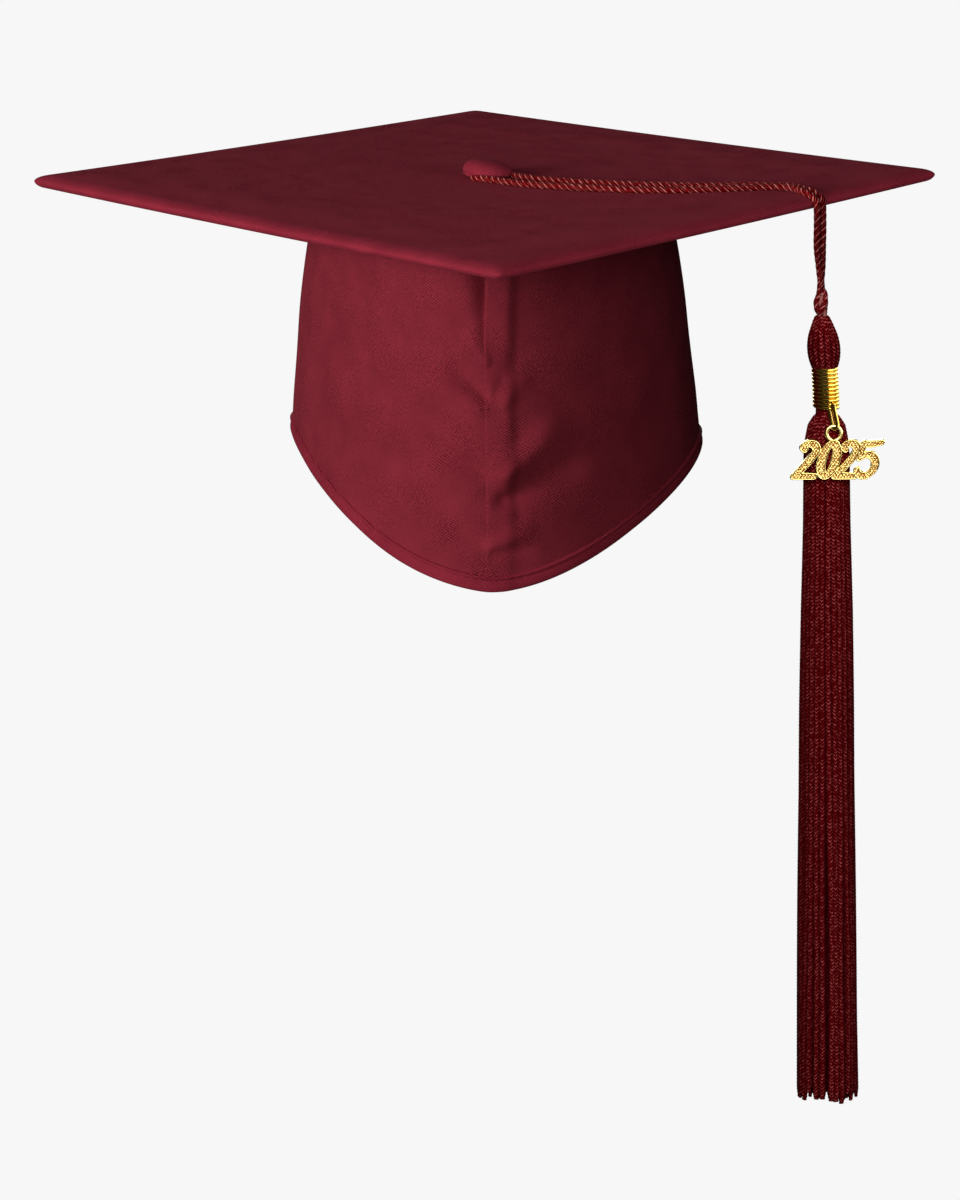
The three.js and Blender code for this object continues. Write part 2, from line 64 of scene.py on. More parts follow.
def make_camera():
    el, az = radians(CAMERA["elevation"]), radians(CAMERA["azimuth"])
    tilt, pan, roll = (radians(CAMERA[k]) for k in ("tilt", "pan", "roll"))
    place = Vector((sin(az) * cos(el), -cos(az) * cos(el), sin(el)))
    back = Vector((sin(pan) * cos(tilt), -cos(pan) * cos(tilt), sin(tilt)))
    right = Vector((0, 0, 1)).cross(back).normalized()
    up = back.cross(right)
    right, up = (
        right * cos(roll) + up * sin(roll),
        up * cos(roll) - right * sin(roll),
    )
    data = bpy.data.cameras.new("camera")
    data.lens, data.sensor_width = CAMERA["lens"], CAMERA["sensor"]
    camera = bpy.data.objects.new("camera", data)
    bpy.context.scene.collection.objects.link(camera)
    turn = Matrix((right, up, back)).transposed().to_4x4()
    spot = place * CAMERA["distance"] * MM + Vector((0, 0, BOARD_TOP * MM))
    camera.matrix_world = Matrix.Translation(spot) @ turn
    bpy.context.scene.camera = camera


make_camera()


LIT_SPOT = Vector((0.02, 0, -0.1))


def area_lights(*rows):
    """Soft lights: name, azimuth (0 in front, positive to the right), elevation, distance, size and watts."""
    made = []
    for name, azimuth, elevation, distance, size, watts in rows:
        a, e = radians(azimuth), radians(elevation)
        way = Vector((sin(a) * cos(e), -cos(a) * cos(e), sin(e)))
        data = bpy.data.lights.new(name, "AREA")
        data.shape, data.size, data.energy = "DISK", size, watts
        light = bpy.data.objects.new(name, data)
        bpy.context.scene.collection.objects.link(light)
        light.location = LIT_SPOT + way * distance
        light.rotation_mode = "QUATERNION"
        light.rotation_quaternion = (-way).to_track_quat("-Z", "Y")
        made.append(light)
    return made


cap_lights = area_lights(("key", -56, 13, 2.2, 0.7, 28), ("fill", -12, 12, 2.4, 1.0, 21.5))
tassel_lights = area_lights(("tassel_key", 4, 30, 1.5, 0.9, 12.8))
board_lights = area_lights(("board_right", 44, 8, 2.2, 0.6, 12), ("board_left", -50, 5, 2.2, 0.6, 7))
gold_lights = area_lights(
    ("gold_card", 58, 6, 1.6, 2.2, 40),
    ("gold_card_right", 126, 4, 1.6, 1.8, 22),
    ("gold_card_left", -140, 4, 1.6, 0.8, 6),
)
charm_lights = area_lights(("charm_card", 4, 14, 2.0, 1.4, 30))
area_lights(("top", 20, 80, 2.0, 1.2, 2.2))
back_lights = area_lights(("back", 180, 10, 2.4, 1.2, 18))
cord_lights = area_lights(("cord_back", 165, 50, 2.0, 1.2, 3.5))
tassel_lights[0].visible_glossy = False
for light in gold_lights + charm_lights:
    light.visible_diffuse = False


def lit_by(lights, pieces):
    """These lights fall on these pieces only, as with flags in a studio."""
    group = bpy.data.collections.new(lights[0].name + "_falls_on")
    for piece in pieces:
        group.objects.link(piece)
    for light in lights:
        light.light_linking.receiver_collection = group


def seen_as(tree, real, shown, output):
    """The camera sees the shader shown, and all other light meets the real one."""
    mixed = tree.nodes.new("ShaderNodeMixShader")
    ray = tree.nodes.new("ShaderNodeLightPath")
    shaders = (ray.outputs["Is Camera Ray"], real.outputs[0], shown.outputs[0])
    for out, into in (*zip(shaders, mixed.inputs), (mixed.outputs[0],
        tree.nodes[output].inputs["Surface"])):
        tree.links.new(out, into)


def glowing(tree, kind, level, strength=1.0):
    made = tree.nodes.new(kind)
    made.inputs["Color"].default_value = (level, level, level, 1)
    made.inputs["Strength"].default_value = strength
    return made


WORLD_LIGHT, BACKDROP = 0.026, 0.93
world = bpy.data.worlds.new("world")
bpy.context.scene.world = world
world.use_nodes = True
sky, backdrop = (
    glowing(world.node_tree, "ShaderNodeBackground", *level) for level in ((1, WORLD_LIGHT), (BACKDROP,))
)
seen_as(world.node_tree, sky, backdrop, "World Output")
bpy.context.scene.view_settings.view_transform = "Standard"

# --- material helpers


def arithmetic(operation, turned=False):
    return lambda a, b=0.0: a.shader.math(operation, *((b, a) if turned else (a, b)))


class Value:
    """A node's output, with arithmetic that adds Math nodes."""

    def __init__(self, shader, socket):
        self.shader, self.socket = shader, socket

    __add__, __sub__, __rsub__ = arithmetic("ADD"), arithmetic("SUBTRACT"), arithmetic("SUBTRACT", True)
    __mul__, __pow__, __abs__ = arithmetic("MULTIPLY"), arithmetic("POWER"), arithmetic("ABSOLUTE")


class Shader:
    """A material's node tree, with short ways to add nodes."""

    def __init__(self, name):
        self.material = bpy.data.materials.new(name)
        self.material.use_nodes = True
        self.tree = self.material.node_tree
        self.base = self.tree.nodes["Principled BSDF"]

    def put(self, socket, value):
        if isinstance(value, Value):
            self.tree.links.new(value.socket, socket)
        else:
            socket.default_value = value

    def node(self, kind, inputs, output=0, **settings):
        """Adds a node with these inputs, by name or number, and gives one of its outputs."""
        made = self.tree.nodes.new("ShaderNode" + kind)
        for key, value in settings.items():
            setattr(made, key, value)
        for slot, value in inputs.items():
            self.put(made.inputs[slot], value)
        return Value(self, made.outputs[output])

    def math(self, operation, a, b=0.0, clamp=False):
        return self.node("Math", {0: a, 1: b}, operation=operation, use_clamp=clamp)

    def wave(self, value, pitch):
        """0 to 1 along value, once every pitch."""
        return self.math("SINE", value * (TAU / pitch)) * 0.5 + 0.5

    def noise(self, vector, scale, detail=2.0, rough=0.5):
        inputs = {"Vector": vector, "Scale": scale, "Detail": detail, "Roughness": rough}
        return self.node("TexNoise", inputs)

    def mix(self, share, a, b):
        return self.node("Mix", {0: share, 6: a, 7: b}, 2, data_type="RGBA")

    def spread(self, value, low, high, to_low=0.0, to_high=1.0):
        return self.node("MapRange", {0: value, 1: low, 2: high, 3: to_low, 4: to_high})

    def bump(self, height, distance, strength=1.0):
        inputs = {"Height": height, "Distance": distance * MM, "Strength": strength}
        self.put(self.base.inputs["Normal"], self.node("Bump", inputs))

    def set(self, **values):
        for key, value in values.items():
            self.put(self.base.inputs[key.replace("_", " ")], value)

    def cloth_axes(self):
        """The vector and its three parts, in mm along the cloth, from the pieces' own attribute."""
        vector = self.node("Attribute", {}, "Vector", attribute_name="cloth")
        return vector, *(self.node("SeparateXYZ", {0: vector}, k) for k in range(3))


def rgb(r, g, b):
    """An sRGB colour of 0 to 255 as linear RGBA."""
    return (*(((c / 255 + 0.055) / 1.055) ** 2.4 if c > 10 else c / 255 / 12.92 for c in (r, g, b)), 1.0)


def woven(name, low, high, pitch=0.95, depth=0.17, sheen=0.08, roughness=0.8, tint=(0.7, 0.16, 0.2, 1)):
    """Twill: short floats in diagonal rows, clearer in some places than in others, with fuzz and mottling."""
    s = Shader(name)
    vector, u, v, _ = s.cloth_axes()
    ridge = s.wave(u + v * 0.62 + s.noise(vector, 0.5) * 1.6, pitch)
    thread = s.wave(u * 0.5 - v, pitch)
    fuzz = s.noise(vector, 1.0 / pitch, 2.0, 0.7)
    clear = s.spread(s.noise(vector, 0.055, 3.0, 0.6), 0.42, 0.6, 0.25, 1.0)
    height = ((ridge + thread) * 0.5 + fuzz * 1.3 - 1.15) * clear + 0.5
    mottle = s.spread(s.noise(vector, 0.06, 4.0, 0.6), 0.3, 0.7, -0.1, 0.1)
    shade = s.math("ADD", s.spread(height, -0.15, 1.15), mottle, clamp=True)
    s.set(Base_Color=s.mix(shade, low, high), Roughness=roughness, Sheen_Weight=sheen, Sheen_Roughness=0.45)
    s.set(Sheen_Tint=tint, Specular_IOR_Level=0.04, Specular_Tint=tint)
    s.bump(height, depth, 0.9)
    return s.material


def grained(name, low, high, scale, rough, bump, detail=3.0, soft=0.6, metallic=1.0, blots=None):
    """Metal or pressed board with a fine grain. rough is one number, or the grain's two ends."""
    s = Shader(name)
    vector = s.node("TexCoord", {}, "Object")
    grain = s.noise(vector, scale, detail, soft)
    patches = s.spread(s.noise(vector, blots), 0.3, 0.7) if blots else grain
    s.set(Base_Color=s.mix(patches, low, high), Metallic=metallic)
    s.set(Roughness=s.spread(grain, 0.3, 0.7, *rough) if isinstance(rough, tuple) else rough)
    s.bump(grain, *bump)
    return s.material


def cast_gold(name):
    """Pale cast gold: polished along the raised edges, pitted and grainy between them."""
    s = Shader(name)
    vector, x, z, deep = s.cloth_axes()
    slope = z * 0.7
    hatch = s.wave(x + slope, 1.15) * s.wave(x - slope, 1.15)
    grain = hatch * 0.45 + s.noise(vector, 1.5, 1.0)
    pit = s.math("MULTIPLY", s.spread(deep, 0.5, 0.62), s.spread(grain, 0.68, 0.48), clamp=True)
    s.set(Base_Color=s.mix(pit, rgb(255, 232, 146), rgb(172, 102, 30)), Metallic=1.0)
    s.set(Roughness=s.spread(pit, 0.0, 1.0, 0.26, 0.5))
    s.bump(1.0 - pit, 0.16, 0.9)
    return s.material


def yarn(name, low, high, painted_highlight, glints_and_gap_shade, roughness=0.42):
    """Lustrous rayon: fibres along the strand, painted highlights where it turns to the light, painted shade
    in the gaps.
    """
    s = Shader(name)
    vector, along, across, _ = s.cloth_axes()
    fibre = s.wave(across + s.noise(vector, 1.2) * 0.3, 0.22)
    fuzz = s.noise(vector, 4.0, 3.0, 0.65)
    height = fibre * 0.7 + fuzz * 0.5
    mottle = s.spread(s.noise(vector, 0.5, 3.0, 0.6), 0.35, 0.65, -0.2, 0.2)
    shade = s.math("ADD", s.spread(height, 0.2, 1.1), mottle, clamp=True)
    # Painted highlights on the crests and painted shade in the gaps; the gaps take a much darker copy of the
    # base colour.
    painted_glint, painted_gap_shade = glints_and_gap_shade(s, vector, along, across)
    plain = s.mix(painted_gap_shade, s.mix(shade, low, high), (*(0.18 * c for c in low[:3]), 1))
    s.set(Base_Color=s.mix(painted_glint, plain, painted_highlight), Sheen_Weight=0.02, Sheen_Tint=high, Sheen_Roughness=0.3)
    s.set(Roughness=s.spread(fuzz, 0.3, 0.7, roughness - 0.08, roughness + 0.14))
    s.set(Specular_IOR_Level=0.06, Specular_Tint=(1, 0.3, 0.3, 1))
    s.bump(height, 0.05, 0.8)
    return s.material


def rope_painted_light(s, vector, along, across):
    """Painted highlights in thin bright dashes along the crest of each ply, and painted shade in the grooves
    between plies.
    """
    off = abs(across)
    broken = s.spread(s.noise(vector, 0.6), 0.42, 0.58, 0.05, 1.0)
    glint_dashes = s.math("MULTIPLY", s.spread(off, 0.66, 0.22), broken, clamp=True)
    return glint_dashes * 0.85, s.spread(off, 1.2, 2.2)


def knit_painted_light(s, vector, along, across):
    """Painted highlights in bright stitches down the face of a knitted strand, in chevrons that break up at
    random, and painted shade at its sides and between stitches.
    """
    off = abs(across)
    chevron = s.wave(along + off * 0.9, KNIT_STITCH)
    thread = chevron**4.0 * s.spread(off, 1.1, 0.5, 0.2, 1.0)
    broken = s.spread(s.noise(vector, 0.85, 2.0, 0.6), 0.46, 0.58, 0.05, 1.0)
    # Painted shade at the strand's sides and between the stitches.
    painted_gap_shade = s.math("ADD", s.spread(off, 0.75, 1.3, 0.0, 0.8), (1.0 - chevron) ** 4.0, clamp=True)
    return s.math("MULTIPLY", thread, broken, clamp=True) * 0.9, painted_gap_shade * 0.75


KNIT_STITCH = 1.35
WHITE = (1, 1, 1, 1)
# Two copies of one maroon twill: the lighter one, on the board's cover, the hem and the button, is painted
# light, as these catch more light than the crown and the board's underside.
CLOTH = woven("maroon_twill", rgb(76, 15, 26), rgb(163, 55, 68))
CLOTH_PAINTED_LIGHTER = woven("maroon_twill_painted_lighter", rgb(88, 19, 33), rgb(168, 53, 69))
LINING = woven("lining_weave", rgb(58, 15, 22), rgb(88, 26, 36),
    0.5, depth=0.08, sheen=0.04, roughness=0.85)
WADDING = woven("wadding", rgb(205, 203, 196), rgb(232, 230, 224), 3.0, tint=WHITE)
BUCKRAM = woven("buckram", rgb(180, 176, 164), rgb(222, 218, 206), 1.4, sheen=0.0, tint=WHITE)
WEBBING = woven("elastic_webbing", rgb(60, 16, 24), rgb(104, 34, 44), 1.1, depth=0.2)
# The third colour of each yarn is a painted highlight, laid on the crests and stitches.
CORD = yarn("rayon_cord", rgb(112, 0, 8), rgb(162, 3, 16), rgb(255, 178, 168), rope_painted_light)
CHAINETTE = yarn("rayon_chainette", rgb(94, 0, 8), rgb(132, 3, 15), rgb(255, 118, 116), knit_painted_light, 0.5)
GOLD_WIRE = grained(
    "gold_wire", rgb(236, 194, 74), rgb(252, 222, 112), 900, (0.11, 0.25), (0.02, 0.6), blots=160
)
GOLD_CAST = cast_gold("gold_cast")
STEEL = grained("stamped_steel", (0.42, 0.42, 0.43, 1), (0.58, 0.58, 0.6, 1), 1200, (0.28, 0.42),
    (0.02, 0.5))
CHIPBOARD = grained(
    "chipboard", (0.24, 0.19, 0.13, 1), (0.42, 0.35, 0.26, 1), 700, 0.9, (0.08, 0.7), 5.0, 0.7, metallic=0.0
)

# --- mesh helpers


def build(name, points, quads=(), tris=(), material=None, cloth=None, smooth=True):
    """A mesh object from points in mm, quads and triangles. cloth is a vector per point, in mm."""
    points = np.asarray(points, float).reshape(-1, 3)
    quads = np.asarray(quads, np.int64).reshape(-1, 4)
    tris = np.asarray(tris, np.int64).reshape(-1, 3)
    size = 0.0
    for corners in (quads[:, [0, 1, 2]], quads[:, [0, 2, 3]], tris):
        a, b, c = (points[corners[:, k]] for k in range(3))
        size += np.einsum("ij,ij->", a, np.cross(b, c))
    if size < 0:
        quads, tris = quads[:, ::-1], tris[:, ::-1]
    mesh = bpy.data.meshes.new(name)
    mesh.vertices.add(len(points))
    mesh.vertices.foreach_set("co", (points * MM).astype(np.float32).ravel())
    loops = join([quads.ravel(), tris.ravel()])
    starts = join([np.arange(len(quads)) * 4, len(quads) * 4 + np.arange(len(tris)) * 3])
    mesh.loops.add(len(loops))
    mesh.loops.foreach_set("vertex_index", loops.astype(np.int32))
    mesh.polygons.add(len(starts))
    mesh.polygons.foreach_set("loop_start", starts.astype(np.int32))
    mesh.polygons.foreach_set("use_smooth", np.full(len(starts), smooth))
    mesh.update(calc_edges=True)
    mesh.validate()
    if cloth is not None:
        marks = mesh.attributes.new("cloth", "FLOAT_VECTOR", "POINT")
        marks.data.foreach_set("vector", np.asarray(cloth, np.float32).reshape(-1, 3).ravel())
    mesh.materials.append(material)
    made = bpy.data.objects.new(name, mesh)
    bpy.context.scene.collection.objects.link(made)
    return made


def grid(rows, cols, close_rows=False, close_cols=False, start=0):
    """Quads between rows x cols points, joined last to first where it is closed."""
    i = np.arange(rows if close_rows else rows - 1)[:, None]
    j = np.arange(cols if close_cols else cols - 1)[None, :]
    i2, j2 = (i + 1) % rows, (j + 1) % cols
    corners = [i * cols + j, i * cols + j2, i2 * cols + j2, i2 * cols + j]
    return np.stack([np.broadcast_to(c, (i.size, j.size)) for c in corners], -1).reshape(-1, 4) + start


class Heap:
    """Several closed bodies gathered into one mesh."""

    def __init__(self):
        self.points, self.cloth, self.quads, self.tris, self.count = [], [], [], [], 0

    def add(self, points, quads=(), tris=(), cloth=None):
        points = np.asarray(points, float).reshape(-1, 3)
        self.points.append(points)
        self.cloth.append(points * 0 if cloth is None else np.asarray(cloth, float).reshape(-1, 3))
        self.quads.append(np.asarray(quads, np.int64).reshape(-1, 4) + self.count)
        self.tris.append(np.asarray(tris, np.int64).reshape(-1, 3) + self.count)
        self.count += len(points)

    def loft(self, rings, cloth=None):
        """A body through closed rings, capped at both ends."""
        rows, cols = rings.shape[:2]
        if cloth is not None:
            cloth = join([cloth.reshape(-1, 3), [cloth[0].mean(0), cloth[-1].mean(0)]])
        k = np.arange(cols)
        n = rows * cols
        first = np.stack([np.full(cols, n), (k + 1) % cols, k], -1)
        last = np.stack([np.full(cols, n + 1), n - cols + k, n - cols + (k + 1) % cols], -1)
        points = join([rings.reshape(-1, 3), [rings[0].mean(0), rings[-1].mean(0)]])
        self.add(points, grid(rows, cols, False, True), [*first, *last], cloth)

    def ring(self, rings, cloth=None):
        """A body through closed rings that come back to the first."""
        self.add(rings, grid(*rings.shape[:2], True, True), (), cloth)

    def object(self, name, material):
        points, quads, tris, cloth = (join(x) for x in (self.points, self.quads, self.tris, self.cloth))
        return build(name, points, quads, tris, material, cloth)


def one(name, material, rings, cloth=None, closed=False):
    heap = Heap()
    (heap.ring if closed else heap.loft)(rings, cloth)
    return heap.object(name, material)


def xyz(*parts):
    """Arrays of coordinates gathered into points."""
    return np.stack(np.broadcast_arrays(*parts), -1)


def lengths(path):
    return join([[0], np.cumsum(np.linalg.norm(np.diff(path, axis=0), axis=1))])


def resample(path, step):
    far = lengths(path)
    at = np.linspace(0, far[-1], max(2, round(far[-1] / step) + 1))
    return np.stack([np.interp(at, far, path[:, k]) for k in range(path.shape[1])], -1)


def spline(points, step):
    """Evenly spaced points, about step apart, on a centripetal Catmull-Rom curve."""
    p = np.asarray(points, float)
    p = join([[2 * p[0] - p[1]], p, [2 * p[-1] - p[-2]]])
    out = []
    for a, b, c, d in zip(p[:-3], p[1:-2], p[2:-1], p[3:]):
        t1, t2, t3 = np.cumsum([max(np.linalg.norm(w - v), 1e-6) ** 0.5 for v, w in ((a, b), (b, c),
            (c, d))])
        t = np.linspace(t1, t2, 24, endpoint=False)[:, None]
        a1 = a * (t1 - t) / t1 + b * t / t1
        a2 = b * (t2 - t) / (t2 - t1) + c * (t - t1) / (t2 - t1)
        a3 = c * (t3 - t) / (t3 - t2) + d * (t - t2) / (t3 - t2)
        b1 = a1 * (t2 - t) / t2 + a2 * t / t2
        b2 = a2 * (t3 - t) / (t3 - t1) + a3 * (t - t1) / (t3 - t1)
        out.append(b1 * (t2 - t) / (t2 - t1) + b2 * (t - t1) / (t2 - t1))
    return resample(join([*out, [p[-2]]]), step)


def frames(path, first=None):
    """Two unit vectors across each point of a path, turned as little as possible along it."""
    ahead = np.gradient(path, axis=0)
    ahead /= np.linalg.norm(ahead, axis=1, keepdims=True)
    side = np.array(first if first is not None else [0.0, 0.0, 1.0], float)
    if abs(side @ ahead[0]) > 0.9:
        side = np.array([1.0, 0.0, 0.0])
    across = np.empty_like(path)
    for i, t in enumerate(ahead):
        side = side - t * (side @ t)
        side /= np.linalg.norm(side)
        across[i] = side
    return across, np.cross(ahead, across)


def tube_rings(path, radius, sides, first=None):
    """Rings round a path. radius is a number, one per point, or one per point and side."""
    n, b = frames(path, first)
    turn = np.arange(sides) / sides * TAU
    r = np.asarray(radius, float).reshape(len(np.atleast_1d(radius)), -1)[..., None]
    way = np.cos(turn)[None, :, None] * n[:, None] + np.sin(turn)[None, :, None] * b[:, None]
    return path[:, None] + way * r


def rope_rings(path, radius, plies=3, lay=8.4, sides=20):
    """A twisted rope: plies that wind once every lay, with grooves between. Cloth x runs along a ply."""
    s = lengths(path)[:, None]
    turn = np.arange(sides) / sides * TAU
    phase = (turn[None, :] - TAU * s / lay) * plies / TAU
    off = (phase - np.floor(phase) - 0.5) * TAU / plies
    r = radius * (0.84 + 0.16 * np.cos(off * plies * 0.5) ** 0.6)
    return tube_rings(path, r, sides), xyz(s, off * radius * 2, 0.0)


def ease(a, b, x):
    t = np.clip((np.asarray(x, float) - a) / (b - a), 0, 1)
    return t * t * (3 - 2 * t)


def ripples(x, y, z, seed, wave_length):
    """Smooth noise from -1 to 1 over places in mm."""
    x, y, z = np.broadcast_arrays(x, y, z)
    flat = [
        noise.noise((a / wave_length, b / wave_length, c / wave_length + seed * 7.3))
        for a, b, c in zip(x.ravel(), y.ravel(), z.ravel())
    ]
    return np.array(flat).reshape(x.shape)


# --- board
SIDE, CORNER = 241.0, 2.6
EDGE_WIDE, EDGE_HIGH, EDGE_LOW, PUFF, SKIN = 7.0, 2.75, 3.3, 32.0, 0.8
EDGE_TOP = EDGE_LOW + EDGE_HIGH
LIFT, DROOP, CORNER_OUT = 2.8, 1.0, 170


def sag(x, y):
    """The board is a little bent: its side corners lift, its front and back corners droop."""
    return LIFT * (np.asarray(x) / CORNER_OUT) ** 2 - DROOP * (np.asarray(y) / CORNER_OUT) ** 2


def board_outline(step=2.2):
    half = SIDE / 2 - CORNER
    points = []
    for quarter in range(4):
        cx = half * (1 if quarter in (0, 3) else -1)
        cy = half * (1 if quarter < 2 else -1)
        for a in np.linspace(quarter, quarter + 1, 9) * pi / 2:
            points.append([cx + CORNER * cos(a), cy + CORNER * sin(a)])
        turn = (quarter + 1) * pi / 2
        way = np.array([cos(turn + pi / 2), sin(turn + pi / 2)])
        start = np.array(points[-1])
        points += [list(start + way * far) for far in np.arange(step, 2 * half - step / 2, step)]
    x, y = np.array(points).T
    return xyz((x - y) * HALF_ROOT, (x + y) * HALF_ROOT)


def cover_top(inset):
    t = np.clip((inset - EDGE_WIDE) / (PUFF - EDGE_WIDE), 0, 1)
    return EDGE_TOP + (BOARD_TOP - EDGE_TOP) * (1 - (1 - t) ** 2)


def board_loops(profile, ripple=0.0):
    """A closed profile of inset and height carried round the board, with the cloth's soft waves on top."""
    line = board_outline()
    share = 1 - 2 * profile[:, 0] / SIDE
    x, y = (line[:, k][:, None] * share[None, :] for k in (0, 1))
    z = profile[:, 1] + sag(x, y)
    if ripple:
        inner = ease(4, 16, profile[:, 0])[None, :]
        z += ripple * inner * (ripples(x, y, 0, 1, 55) * 0.8 + ripples(x, y, 0, 2, 22) * 0.3)
    far = lengths(profile)
    flat = np.abs(far[np.argmax(profile[:, 0])] - far) / (SIDE / 2)
    return xyz(x, y, z), xyz(line[:, :1] * flat, line[:, 1:] * flat, 0.0)


def edge_profile(depth, steps=16):
    low = [[3.6, 1.12], [2.6, 1.14], [1.8, 1.32], [1.1, 1.7], [0.55, 2.25], [0.16, 2.85]]
    if depth:
        low = [[3.6, 1.75], [2.3, 1.95], [1.45, 2.45], [1.0, 2.9]]
    a = np.radians(np.linspace(2, 86, steps))
    wide, high = EDGE_WIDE - depth, EDGE_HIGH - depth
    arc = np.stack([EDGE_WIDE - wide * np.cos(a), EDGE_LOW + high * np.sin(a)], -1)
    spans = ((8, 20, 1.6), (20, 40, 2.4), (40, SIDE / 2 - 4, 4.0))
    inner = join([np.arange(*span) for span in spans] + [[SIDE / 2 - 2.5]])
    return join([low, arc, xyz(inner, cover_top(inner) - depth)])


def board_layer(name, material, upper, lower, edge):
    """A flat layer inside the board, between two heights given as functions of inset."""
    insets = np.array([edge, edge + 1.5, edge + 4, 12, 20, 32, 50, 70, 90, 112])
    top, bottom = (xyz(insets, height(insets)) for height in (upper, lower))
    return one(name, material, *board_loops(join([top, bottom[::-1]])), closed=True)


points, cloth = board_loops(join([edge_profile(0), edge_profile(SKIN)[::-1]]), 0.35)
board_cover = one("board_cloth", CLOTH_PAINTED_LIGHTER, points, cloth, closed=True)
base = [[3.25, 1.95], [3.3, 1.5], [3.6, 1.22], [4.4, 1.14], [6, 1.16]]
base += [[inset, 1.2] for inset in (10, 20, 40, 60, 85, 112.1)]
base += [[inset, 1.9] for inset in (112.1, 85, 60, 40, 20)] + [[5, 1.95]]
board_base = one("board_cloth_underside", CLOTH, *board_loops(np.array(base)), closed=True)
core = board_layer("board_core_sheet", CHIPBOARD, lambda d: d * 0 + 3.8, lambda d: d * 0 + 2.2, 2.9)
wadding = board_layer(
    "board_wadding", WADDING, lambda d: cover_top(d) - 1.25, lambda d: d * 0 + 3.85, 7.5
)

# --- crown
CROWN_TOP, HEM_SIDE, HEM_FRONT, HEM_BACK = 1.3, -93.5, -129.4, -105.4


def hem_z(angle):
    turned = np.where(np.asarray(angle) > pi, angle - TAU, angle)
    c = np.cos(turned - 0.066 * np.exp(-((turned / 0.35) ** 2)))
    side = HEM_SIDE - 3 * np.sin(turned)
    power = 1.95 + 0.1 * np.tanh(turned * 6)
    return side + (np.where(c > 0, HEM_FRONT, HEM_BACK) - side) * np.abs(c) ** power


def seam_x(z):
    """The front seam leans a little to the left and wanders."""
    return -1.7 + 0.012 * z + 0.55 * np.sin(z / 19 + 0.6)


def crown_flat(angle, z):
    """The crown's smooth face and its outward direction, at an angle round from the front seam."""
    q = 1.62 + 0.12 * np.clip(-z / 110, 0, 1)
    s, c = np.sin(angle), np.cos(angle)
    right = 69.3 - 0.165 * z - 0.00035 * z * z - seam_x(z)
    left = 64.6 - 0.165 * z - 0.0007 * z * z + seam_x(z)
    a, b = np.where(s > 0, right, left), 87 - 0.08 * z
    across = a * np.sign(s) * np.abs(s) ** (2 / q)
    y = -b * np.sign(c) * np.abs(c) ** (2 / q)
    nx = np.sign(across) * (np.abs(across) / a) ** (q - 1) / a
    ny = np.sign(y) * (np.abs(y) / b) ** (q - 1) / b
    size = np.maximum(np.hypot(nx, ny), 1e-9)
    return seam_x(z) + across, y, nx / size, ny / size


def fold(x, z, start, end, width, height, fade=0.35):
    """A soft straight crease from start, where it is sharpest, to end, where it dies out."""
    (x0, z0), (x1, z1) = start, end
    dx, dz = x1 - x0, z1 - z0
    far = hypot(dx, dz)
    along = ((x - x0) * dx + (z - z0) * dz) / far
    off = ((x - x0) * dz - (z - z0) * dx) / far
    t = np.clip(along / far, 0, 1)
    wide = 1.25 * width * (0.55 + 0.75 * t)
    ends = ease(-0.12 * far, 0.08 * far, along) * (1 - ease((1 - fade) * far, 1.15 * far, along))
    return 1.35 * height * ends * np.exp(-((off / wide) ** 2))


BAND_HIGH = 0.75


def creases(x, y, z, angle, arc, hidden=False):
    """How far the cloth stands out of the smooth crown, in mm. hidden is for the layers behind the cloth."""
    u = x - seam_x(z)
    front = (y < 0) & (np.abs(x) < 60)
    right = angle > 0
    rise = BAND_HIGH * (0.35 + 0.17 * np.clip(u, 0, 9))
    band = rise * right * (1 - ease(6.6, 12.4, u)) * (1 - 0.6 * ease(-96, -116, z))
    wide = 7.6 * np.clip(1 - (-z - 3) / 46, 0.2, 1)
    deep = 5.4 * ease(-42, -14, z)
    if hidden:
        hollow = -(deep + 0.4) * np.exp(-((np.minimum(u + 1, 0) / (wide + 2)) ** 2)) * (1 - ease(2.5, 9, u))
        band = 0
    else:
        hollow = -deep * np.exp(-((u / wide) ** 2)) * ~right
    made = band + hollow
    for start, end, width, height in (
        ((-2.0, -58.5), (-18, -44.0), 2.9, -1.45),
        ((-3.2, -63.5), (-22, -51.5), 3.4, 0.8),
        ((-2.0, -46), (-9, -33), 2.6, 0.9),
        ((0.5, -59), (8.0, -42.0), 2.4, -0.6),
        ((3.0, -61), (14, -49), 3.0, 0.6),
        ((-2.4, -85.5), (-28, -74.0), 3.6, -1.3),
        ((-5, -92), (-34, -84), 4.4, 0.8),
        ((3.0, -87), (26, -68.0), 4.2, 1.9),
        ((2.0, -96.5), (34, -84.5), 4.2, -1.9),
        ((-1.0, -83.5), (5.2, -77), 1.6, 0.4),
        ((-2.2, -112.5), (16, -107.0), 3.0, 0.9),
        ((-1.0, -116), (15, -113.2), 2.6, -0.6),
        ((-3, -111), (-20, -104), 3.0, -0.7),
        ((-6, -116.5), (-26, -109), 3.4, 0.5),
    ):
        made = made + fold(x, z, start, end, width, height)
    made = np.where(front, made, 0)
    slack = ripples(x, y, z * 1.2, 5, 38) * 0.55 + ripples(x, y, z, 6, 17) * 0.14
    made = made + slack * ease(0, -16, z)
    back = np.abs(180 - np.abs(np.degrees(np.arctan2(np.sin(angle), np.cos(angle)))))
    low = hem_z(angle)
    gather = ease(48, 34, back) * (1 - ease(low + 9, low + 38, z))
    wave = np.cos(arc / 8.6 * TAU + 1.6 * ripples(x, y, z * 0.3, 8, 30))
    made = made + gather * (1.15 * wave + 0.3)
    seam_back = 0.5 * np.exp(-((u / 1.1) ** 2)) * (y > 0)
    return made - seam_back * ease(0, -6, z)


